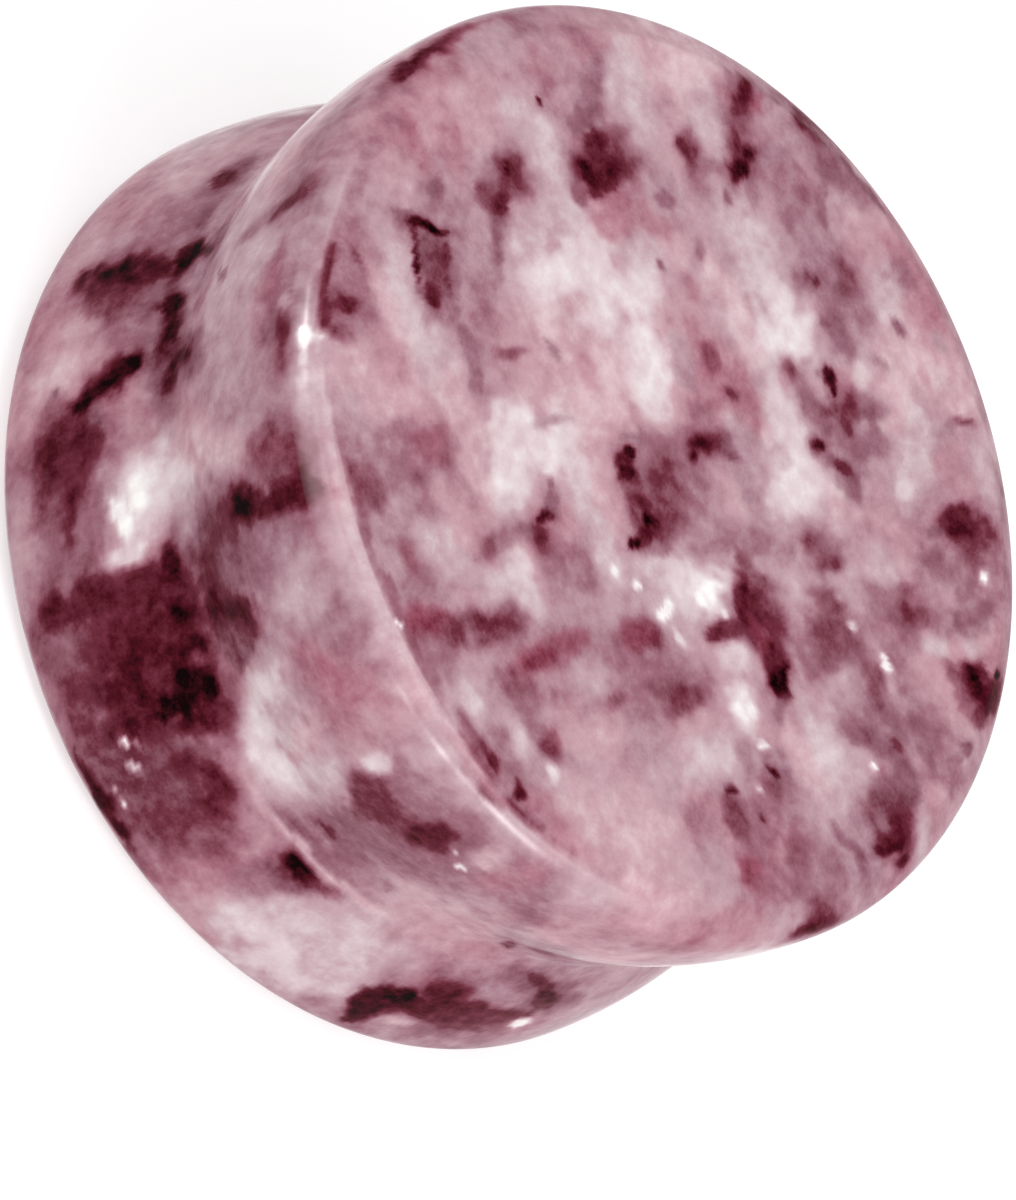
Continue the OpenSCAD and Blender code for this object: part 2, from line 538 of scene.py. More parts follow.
    (MAROON, 8.6, 8.6, 0.3, 0.25, 0, 0.8),
    (WINE, 9.85, 7.75, 0.3, 0.2, -20, 0.85),
    (MAUVE, 7.0, 6.3, 0.4, 0.35, 0, 0.7),
    (MAUVE, 5.6, 6.4, 0.4, 0.3, 90, 0.7),
    (MAUVE, 5.7, 5.8, 0.4, 0.3, 0, 0.7),
    (SMOKE, 9.7, 5.1, 0.6, 0.4, 0, 0.6),
    (SMOKE, 10.45, 6.9, 0.15, 0.14, 0, 0.9),
    (SMOKE, 10.5, 6.4, 0.35, 0.13, 90, 0.4),
    (CLOUD, 7.9, 8.5, 0.35, 0.3, 60, 0.75),
    (CLOUD, 7.5, 7.3, 0.55, 0.35, 60, 0.85),
    (WINE, 6.3, 6.6, 0.75, 0.48, 90, 0.8),
    (WINE, 5.65, 7.0, 0.4, 0.3, 90, 0.7),
    (MAUVE, 5.5, 5.3, 0.8, 0.4, 0, 0.6),
    (MAUVE, 7.2, 5.4, 0.7, 0.3, 20, 0.6),
    (MAROON, 6.25, 6.45, 0.3, 0.25, 0, 0.45),
    (MAUVE, 6.0, 5.8, 0.7, 0.4, 70, 0.75),
    (CLOUD, 4.9, 6.4, 0.6, 0.5, 0, 0.7),
    (PINK, 8.0, 6.2, 0.8, 0.5, 0, 0.6),
    (MAUVE, 9.9, 5.3, 1.2, 0.8, 0, 0.7),
    (SNOW, 7.35, 4.9, 0.24, 0.16, -20, 0.9),
    (MILK, 6.05, 4.3, 0.15, 0.13, 0, 0.9),
    # Right, above the middle
    (MAUVE, 3.75, 4.3, 0.8, 0.6, 60, 0.85),
    (WINE, 4.0, 4.3, 0.45, 0.33, 60, 0.65),
    (WINE, 3.5, 3.85, 0.35, 0.3, 60, 0.8),
    (MAUVE, 3.55, 2.6, 0.35, 0.3, 0, 0.6),
    (SMOKE, 3.5, 3.1, 0.3, 0.15, -30, 0.5),
    (MAUVE, 6.1, 3.0, 1.3, 0.8, 90, 0.9),
    (WINE, 6.1, 3.2, 0.9, 0.4, 90, 0.5),
    (WINE, 6.3, 3.0, 1.0, 0.6, 0, 0.35),
    (WINE, 5.3, 3.7, 0.5, 0.3, 60, 0.6),
    (MAUVE, 6.4, 2.0, 0.6, 0.45, 0, 0.75),
    (CLOUD, 7.15, 3.0, 0.4, 0.28, 80, 0.55),
    (WINE, 8.2, 4.15, 0.85, 0.33, -5, 0.85),
    (MAUVE, 8.3, 2.9, 0.9, 0.7, 60, 0.85),
    (CLOUD, 7.6, 2.8, 0.5, 0.35, 60, 0.6),
    (SMOKE, 9.2, 3.6, 0.6, 0.4, 70, 0.85),
    (SMOKE, 8.6, 3.8, 0.5, 0.3, 0, 0.6),
    (DUSK, 7.7, 3.6, 0.5, 0.3, 0, 0.6),
    (SMOKE, 9.6, 3.4, 0.3, 0.3, 0, 0.6),
    (MAROON, 9.6, 4.1, 0.3, 0.14, 20, 0.6),
    (SMOKE, 9.2, 4.4, 0.8, 0.3, 0, 0.7),
    (SMOKE, 10.6, 3.9, 0.6, 0.4, 0, 0.85),
    (SMOKE, 10.7, 3.0, 0.5, 0.5, 0, 0.7),
    (WINE, 11.6, 3.1, 0.8, 0.6, 0, 0.9),
    (MAROON, 11.9, 2.8, 0.7, 0.42, 100, 0.95),
    (WINE, 11.2, 2.5, 0.8, 0.5, 80, 0.75),
    (DUSK, 11.6, 1.6, 0.6, 0.3, 0, 0.7),
    (MAROON, 12.6, 2.8, 0.35, 0.16, -70, 0.7),
    (MAROON, 12.1, 2.1, 0.3, 0.3, 0, 0.75),
    (INK, 12.15, 2.6, 0.4, 0.14, 100, 0.5),
    (DUSK, 11.45, 2.4, 0.25, 0.22, 0, 0.6),
    (CLOUD, 12.3, 3.95, 0.8, 0.32, -14, 0.9),
    (CLOUD, 8.4, 1.3, 1.2, 0.42, 10, 0.85),
    (CLOUD, 9.6, 1.8, 1.3, 0.6, 10, 0.8),
    (SNOW, 9.95, 2.9, 0.14, 0.13, 0, 0.9),
    (BLUSH, 9.0, 0.5, 1.3, 0.6, 0, 0.7),
    (DUSK, 12.2, 0.9, 0.7, 0.45, 20, 0.8),
    (SMOKE, 11.5, 0.75, 0.5, 0.14, 15, 0.75),
    (SMOKE, 12.1, 1.05, 0.4, 0.14, 10, 0.85),
    (WINE, 5.3, 0.85, 1.4, 0.55, -8, 0.9),
    (WINE, 4.8, 1.4, 0.7, 0.4, 0, 0.6),
    (RUST, 5.2, 0.5, 1.3, 0.42, 0, 0.85),
    (MAROON, 4.8, 1.15, 0.8, 0.24, 30, 0.5),
    (MAROON, 4.1, 0.45, 0.75, 0.33, -22, 0.9),
    (MAROON, 6.2, 0.6, 0.6, 0.42, 0, 0.9),
    (INK, 6.65, 0.65, 0.45, 0.38, -35, 1.0),
    (INK, 6.75, 0.4, 0.4, 0.25, 0, 0.85),
    (WINE, 5.2, 0.1, 0.5, 0.2, 10, 0.6),
    (SMOKE, 7.4, 0.25, 0.4, 0.2, -40, 0.6),
    (MAUVE, 3.0, 1.9, 0.6, 0.3, 80, 0.65),
    (WINE, 3.1, 1.0, 0.3, 0.25, 0, 0.6),
    # The middle, with the largest dark cluster
    (MAUVE, 0.5, -0.6, 1.45, 1.25, 0, 0.9),
    (WINE, -0.3, -0.4, 0.9, 0.4, 0, 0.5),
    (WINE, 0.9, -0.7, 0.8, 0.45, 10, 0.55),
    (WINE, -2.4, 2.95, 0.35, 0.25, 0, 0.6),
    (SMOKE, 0.3, 2.2, 0.4, 0.15, 40, 0.6),
    (WINE, 1.2, -1.7, 0.5, 0.45, 0, 0.5),
    (MAUVE, 0.8, 0.5, 0.9, 0.4, 0, 0.7),
    (WINE, 0.05, -0.4, 0.5, 0.25, 90, 0.8),
    (WINE, 1.1, -0.3, 0.5, 0.3, 0, 0.6),
    (WINE, 0.2, -1.9, 0.9, 0.35, 0, 0.75),
    (WINE, 0.9, -1.1, 0.6, 0.3, 0, 0.6),
    (MAROON, -0.6, -1.9, 0.33, 0.22, 60, 0.8),
    (INK, -0.75, -1.5, 0.22, 0.15, 50, 0.9),
    (INK, -0.35, -2.0, 0.28, 0.14, 70, 0.7),
    (SMOKE, -1.1, -1.3, 0.5, 0.14, 80, 0.6),
    (MAROON, 0.6, -1.7, 0.33, 0.2, 60, 0.7),
    (INK, 1.1, -1.75, 0.42, 0.27, 60, 1.0),
    (MAROON, 1.55, -2.2, 0.5, 0.2, -70, 0.85),
    (INK, 1.6, -2.75, 0.3, 0.13, -80, 0.85),
    (MAUVE, 2.0, -2.0, 0.5, 0.16, 80, 0.7),
    (MAUVE, -0.9, -1.0, 0.4, 0.3, 90, 0.7),
    (PINK, 0.3, -3.1, 0.4, 0.3, 0, 0.6),
    (WINE, 0.9, -2.3, 0.4, 0.2, 0, 0.7),
    (WINE, 1.7, -1.4, 0.3, 0.3, 0, 0.6),
    (CLOUD, 3.2, -1.9, 1.2, 1.0, 0, 0.85),
    (MILK, 3.1, -1.4, 0.8, 0.6, 0, 0.7),
    (MILK, 3.25, -0.05, 0.6, 0.36, 60, 0.95),
    (MAUVE, 2.5, 0.4, 1.2, 0.25, 85, 0.75),
    (SNOW, 3.7, -0.55, 0.42, 0.27, -70, 0.9),
    (MILK, 3.7, -0.7, 0.7, 0.6, 0, 0.9),
    (SNOW, 3.9, -1.05, 0.24, 0.18, 0, 0.75),
    (SNOW, 3.65, -2.55, 0.3, 0.19, -50, 1.0),
    (SNOW, 4.3, -0.4, 0.15, 0.13, 0, 0.7),
    (MILK, 4.6, -2.3, 0.4, 0.16, 30, 0.9),
    (SNOW, 2.7, -3.3, 0.13, 0.12, 0, 0.9),
    (SNOW, 2.1, -3.85, 0.25, 0.16, 0, 0.8),
    (CLOUD, 0.9, -4.0, 1.6, 0.5, 0, 0.85),
    (WINE, 4.7, -0.45, 0.6, 0.32, 95, 0.9),
    (MAROON, 4.75, -1.1, 0.4, 0.2, 90, 0.7),
    (MILK, 5.6, -0.7, 0.65, 0.5, 40, 0.75),
    (MILK, 6.85, -1.15, 0.7, 0.55, 0, 0.9),
    (SNOW, 7.0, -1.3, 0.42, 0.3, 20, 0.85),
    (SNOW, 7.15, -0.8, 0.24, 0.16, 0, 0.8),
    # Right, below the middle
    (SMOKE, 9.0, -0.75, 0.6, 0.42, 0, 0.8),
    (WINE, 9.4, -1.3, 0.5, 0.4, 0, 0.7),
    (INK, 8.95, -0.85, 0.14, 0.13, 0, 0.8),
    (MAUVE, 10.0, -0.8, 0.8, 0.45, 90, 0.75),
    (MAUVE, 9.9, -2.0, 0.5, 0.4, 0, 0.6),
    (SMOKE, 8.2, -1.7, 0.5, 0.4, 0, 0.5),
    (SNOW, 8.2, -0.8, 0.13, 0.13, 0, 0.8),
    (SNOW, 9.4, -1.7, 0.13, 0.12, 0, 0.6),
    (MAUVE, 11.9, -0.2, 0.5, 0.4, 0, 0.7),
    (MAUVE, 12.2, -1.1, 1.1, 0.8, 80, 0.75),
    (ROSE, 11.0, -2.4, 1.2, 0.9, 0, 0.8),
    (WINE, 13.35, -1.3, 0.8, 0.2, 95, 0.6),
    (MAROON, 13.35, -1.5, 0.5, 0.14, 95, 0.6),
    (INK, 9.05, -2.7, 0.22, 0.12, 85, 0.7),
    (DUSK, 2.9, -3.7, 0.7, 0.25, 90, 0.7),
    (WINE, 9.6, -3.0, 0.6, 0.35, 10, 0.6),
    (INK, 10.1, -2.0, 0.13, 0.12, 0, 0.7),
    (MAUVE, 10.2, -2.6, 1.0, 0.5, 0, 0.7),
    (WINE, 10.1, -2.1, 0.9, 0.6, 20, 0.45),
    (ROSE, 9.4, -3.9, 0.9, 0.7, 60, 0.6),
    (WINE, 11.2, -1.2, 0.7, 0.45, 0, 0.45),
    (RUST, 11.2, -3.3, 0.45, 0.3, 80, 0.8),
    (MAUVE, 9.4, -4.4, 0.5, 0.35, 70, 0.75),
    (CLOUD, 8.2, -2.9, 1.1, 0.85, 90, 0.85),
    (ROSE, 12.4, -3.9, 1.0, 0.5, 80, 0.6),
    (MAUVE, 5.6, -3.2, 1.1, 0.9, 80, 0.85),
    (WINE, 6.3, -3.2, 0.9, 0.3, 100, 0.75),
    (ROSE, 4.9, -5.0, 1.1, 0.8, 100, 0.6),
    (WINE, 5.6, -3.9, 0.8, 0.4, 70, 0.3),
    (RUST, 4.1, -3.7, 0.5, 0.3, 60, 0.3),
    (WINE, 4.1, -3.8, 0.7, 0.4, 60, 0.7),
    (RUST, 4.0, -4.0, 0.5, 0.35, 90, 0.7),
    (MAUVE, 5.2, -4.6, 1.0, 0.5, -20, 0.7),
    (CLOUD, 4.6, -6.2, 0.6, 0.4, 60, 0.8),
    (MAUVE, 4.4, -5.1, 0.8, 0.4, 0, 0.7),
    (WINE, 5.45, -5.7, 0.4, 0.2, 90, 0.5),
    (DUSK, 7.4, -5.1, 1.1, 0.7, 0, 0.35),
    (PINK, 8.6, -5.6, 1.4, 1.0, 0, 0.6),
    (BLUSH, 9.8, -6.5, 1.5, 1.2, 0, 0.65),
    (BLUSH, 8.4, -8.0, 1.4, 0.7, 30, 0.65),
    (BLUSH, 6.2, -6.9, 1.2, 0.5, 85, 0.6),
    (ROSE, 12.5, -5.2, 0.9, 0.4, 75, 0.5),
    # Bottom, right of the middle
    (SMOKE, -0.75, -4.95, 0.2, 0.14, 0, 0.9),
    (SMOKE, -0.2, -5.25, 0.5, 0.28, -40, 0.7),
    (INK, 0.15, -5.75, 0.32, 0.24, 70, 0.9),
    (MAROON, 0.55, -5.95, 0.35, 0.28, 10, 0.85),
    (MAROON, 0.45, -6.2, 0.36, 0.28, 10, 0.9),
    (SMOKE, 0.2, -6.5, 0.35, 0.25, 60, 0.7),
    (MAUVE, 1.3, -6.0, 1.0, 0.5, 0, 0.85),
    (MAUVE, 1.5, -5.1, 0.9, 0.5, 10, 0.75),
    (MAUVE, 0.25, -7.6, 0.9, 0.38, 88, 0.85),
    (WINE, 0.2, -8.15, 0.35, 0.25, 0, 0.7),
    (MILK, 1.0, -7.1, 0.35, 0.3, 0, 0.8),
    (CLOUD, 1.7, -7.5, 0.9, 0.35, 10, 0.95),
    (CLOUD, 2.6, -7.2, 0.4, 0.25, 0, 0.8),
    (CLOUD, -0.5, -6.8, 0.5, 0.25, 90, 0.8),
    (CLOUD, 1.2, -8.3, 0.6, 0.5, 90, 0.85),
    (RUST, 3.6, -8.0, 0.85, 0.45, 90, 0.95),
    (MAROON, 3.7, -8.2, 0.4, 0.22, 90, 0.35),
    (RUST, 3.5, -6.7, 0.7, 0.4, 90, 0.65),
    (MAUVE, 2.5, -8.4, 0.7, 0.6, 0, 0.85),
    (WINE, 2.45, -8.9, 1.0, 0.42, 85, 0.85),
    (MAROON, 2.3, -9.2, 0.42, 0.16, 80, 0.8),
    (MAUVE, 2.3, -10.3, 0.6, 0.4, 75, 0.7),
    (WINE, 4.1, -9.0, 0.8, 0.55, 70, 0.7),
    (MAUVE, 5.0, -9.2, 0.6, 0.4, 0, 0.7),
    (MAUVE, 5.9, -8.8, 0.5, 0.35, 20, 0.8),
    (WINE, 6.0, -8.9, 0.25, 0.18, 20, 0.7),
    (RUST, 5.9, -8.6, 0.3, 0.3, 0, 0.5),
    (MILK, 6.7, -9.1, 0.2, 0.16, 0, 0.85),
    (ROSE, 7.9, -9.6, 1.1, 0.4, 28, 0.75),
    (MAUVE, 6.2, -10.6, 1.2, 0.4, 20, 0.75),
    (WINE, 7.5, -10.5, 1.1, 0.12, 38, 0.75),
    (MAROON, 6.6, -11.3, 0.5, 0.14, 30, 0.7),
    (WINE, 5.6, -11.6, 1.0, 0.25, 22, 0.8),
    (MAROON, 6.7, -10.55, 0.25, 0.18, 0, 0.95),
    (WINE, 5.2, -11.3, 0.9, 0.25, 15, 0.7),
    (MAROON, 5.7, -11.1, 0.35, 0.2, 20, 0.95),
    (CLOUD, 5.6, -9.8, 0.45, 0.22, 10, 0.8),
    (MAUVE, 5.2, -10.6, 0.7, 0.35, 15, 0.8),
    (CLOUD, 3.9, -10.9, 0.6, 0.35, 20, 0.85),
    (RUST, 1.6, -11.2, 0.75, 0.4, 60, 0.9),
    (RUST, 1.15, -11.6, 0.45, 0.3, 60, 0.9),
    (WINE, 2.15, -10.75, 0.4, 0.35, 60, 0.8),
    (RUST, 1.2, -11.9, 0.4, 0.3, 0, 0.8),
    (MAUVE, 2.2, -11.5, 0.9, 0.5, 0, 0.7),
    (MAUVE, 3.0, -12.2, 0.8, 0.22, 12, 0.85),
    (WINE, 1.2, -12.3, 1.4, 0.2, 3, 0.6),
    (MAUVE, -0.1, -11.1, 0.9, 0.5, 0, 0.75),
    (RUST, -0.3, -11.2, 0.4, 0.3, 0, 0.4),
    (CLOUD, 0.0, -9.7, 1.0, 0.45, 25, 0.7),
    (SNOW, 1.3, -12.5, 0.14, 0.12, 60, 0.9),
    # Bottom left
    (WINE, -4.45, -4.5, 0.55, 0.16, 84, 0.75),
    (SMOKE, -4.2, -2.9, 0.4, 0.13, 10, 0.5),
    (DUSK, -2.4, -4.0, 0.6, 0.13, 82, 0.85),
    (MILK, -2.0, -5.7, 1.3, 0.9, -35, 0.95),
    (MILK, -1.2, -6.4, 0.7, 0.5, 0, 0.8),
    (MILK, -1.6, -4.7, 0.9, 0.4, 0, 0.8),
    (MAUVE, -4.0, -6.1, 0.45, 0.25, -20, 0.75),
    (BLUSH, -3.6, -7.3, 1.0, 0.5, 0, 0.75),
    (PINK, -3.6, -7.0, 0.9, 0.4, 0, 0.8),
    (BLUSH, -1.6, -7.6, 1.0, 0.4, 0, 0.8),
    (MAUVE, -2.9, -9.3, 1.0, 0.7, 80, 0.8),
    (RUST, -3.0, -8.9, 0.6, 0.4, 90, 0.45),
    (MAUVE, -1.25, -9.7, 0.5, 0.3, 75, 0.5),
    (MAUVE, -3.0, -10.6, 0.9, 0.5, 0, 0.7),
    (WINE, -2.5, -11.5, 0.8, 0.45, -10, 0.7),
    (WINE, -2.4, -12.15, 0.8, 0.25, -10, 0.85),
    (MAUVE, -1.2, -12.4, 0.7, 0.2, -5, 0.7),
    (BLUSH, -4.5, -9.6, 1.2, 0.6, 90, 0.7),
    (BLUSH, -5.8, -10.8, 0.9, 0.7, 90, 0.7),
    (MAROON, -13.15, -3.2, 0.9, 0.16, 102, 0.9),
    (ROSE, -12.5, -3.4, 1.3, 0.4, 105, 0.7),
    (MAROON, -12.95, -3.9, 0.5, 0.2, 106, 0.95),
    (PINK, -11.3, -2.1, 1.2, 1.2, 0, 0.7),
    (WINE, -9.1, -1.6, 0.7, 0.5, -15, 0.85),
    (WINE, -9.0, -2.2, 0.6, 0.4, -45, 0.8),
    (WINE, -9.65, -2.2, 0.3, 0.2, 0, 0.7),
    (MAROON, -9.35, -1.9, 0.4, 0.28, 10, 0.85),
    (INK, -9.45, -2.0, 0.25, 0.14, 0, 0.6),
    (MAROON, -8.5, -2.6, 0.5, 0.3, -60, 0.85),
    (WINE, -8.8, -3.1, 0.5, 0.3, 0, 0.8),
    (MAUVE, -9.3, -2.5, 0.9, 0.6, -40, 0.75),
    (SMOKE, -7.75, -3.2, 0.75, 0.26, -35, 0.9),
    (SMOKE, -6.9, -3.7, 0.6, 0.2, -30, 0.65),
    (ROSE, -10.3, -3.7, 1.2, 0.5, -15, 0.65),
    (ROSE, -11.5, -5.3, 0.9, 0.6, -50, 0.85),
    (ROSE, -10.8, -5.0, 0.8, 0.35, 0, 0.8),
    (RUST, -11.4, -5.1, 0.4, 0.3, 0, 0.3),
    (MAUVE, -11.6, -5.3, 0.35, 0.2, 20, 0.6),
    (MAUVE, -10.6, -7.2, 1.3, 0.2, -52, 0.6),
    (SMOKE, -9.5, -4.95, 0.38, 0.3, 90, 0.7),
    (INK, -8.55, -5.75, 0.75, 0.19, 66, 1.0),
    (INK, -8.75, -6.15, 0.25, 0.13, 70, 0.9),
    (SMOKE, -9.05, -6.5, 0.5, 0.14, 60, 0.7),
    (SMOKE, -7.35, -6.0, 1.05, 0.5, -20, 0.95),
    (WINE, -7.5, -5.9, 0.8, 0.35, -20, 0.6),
    (WINE, -7.0, -6.2, 0.6, 0.4, -20, 0.7),
    (MAROON, -6.75, -6.5, 0.38, 0.26, -20, 0.9),
    (INK, -7.75, -6.65, 1.0, 0.13, -17, 0.85),
    (SMOKE, -8.1, -6.2, 0.4, 0.3, -20, 0.8),
    (SMOKE, -7.0, -5.5, 0.5, 0.25, -20, 0.7),
    (DUSK, -6.8, -7.1, 0.4, 0.16, -10, 0.7),
    (MAUVE, -6.2, -6.1, 0.3, 0.3, 0, 0.7),
    (MAROON, -7.4, -5.55, 0.8, 0.14, -22, 0.6),
    (MAUVE, -6.0, -4.9, 1.0, 0.5, -20, 0.6),
    (SMOKE, -5.2, -5.9, 1.0, 0.3, 0, 0.65),
    (CLOUD, -7.7, -7.5, 1.3, 0.5, -3, 0.95),
    (CLOUD, -5.7, -7.4, 1.2, 0.6, 0, 0.8),
    (BLUSH, -6.8, -8.3, 1.2, 0.4, 0, 0.7),
    (MAUVE, -7.5, -9.7, 1.3, 0.9, -30, 0.8),
    (MAROON, -7.25, -10.0, 0.32, 0.24, 85, 0.95),
    (WINE, -7.2, -9.7, 0.4, 0.3, 90, 0.6),
    (MAROON, -8.1, -10.1, 1.2, 0.12, -42, 0.85),
    (MAROON, -7.3, -10.7, 0.4, 0.18, -40, 0.8),
    (WINE, -7.6, -10.3, 0.6, 0.4, 0, 0.65),
    (WINE, -6.7, -10.5, 0.4, 0.25, 70, 0.7),
    (WINE, -8.5, -8.75, 0.4, 0.14, 15, 0.7),
)

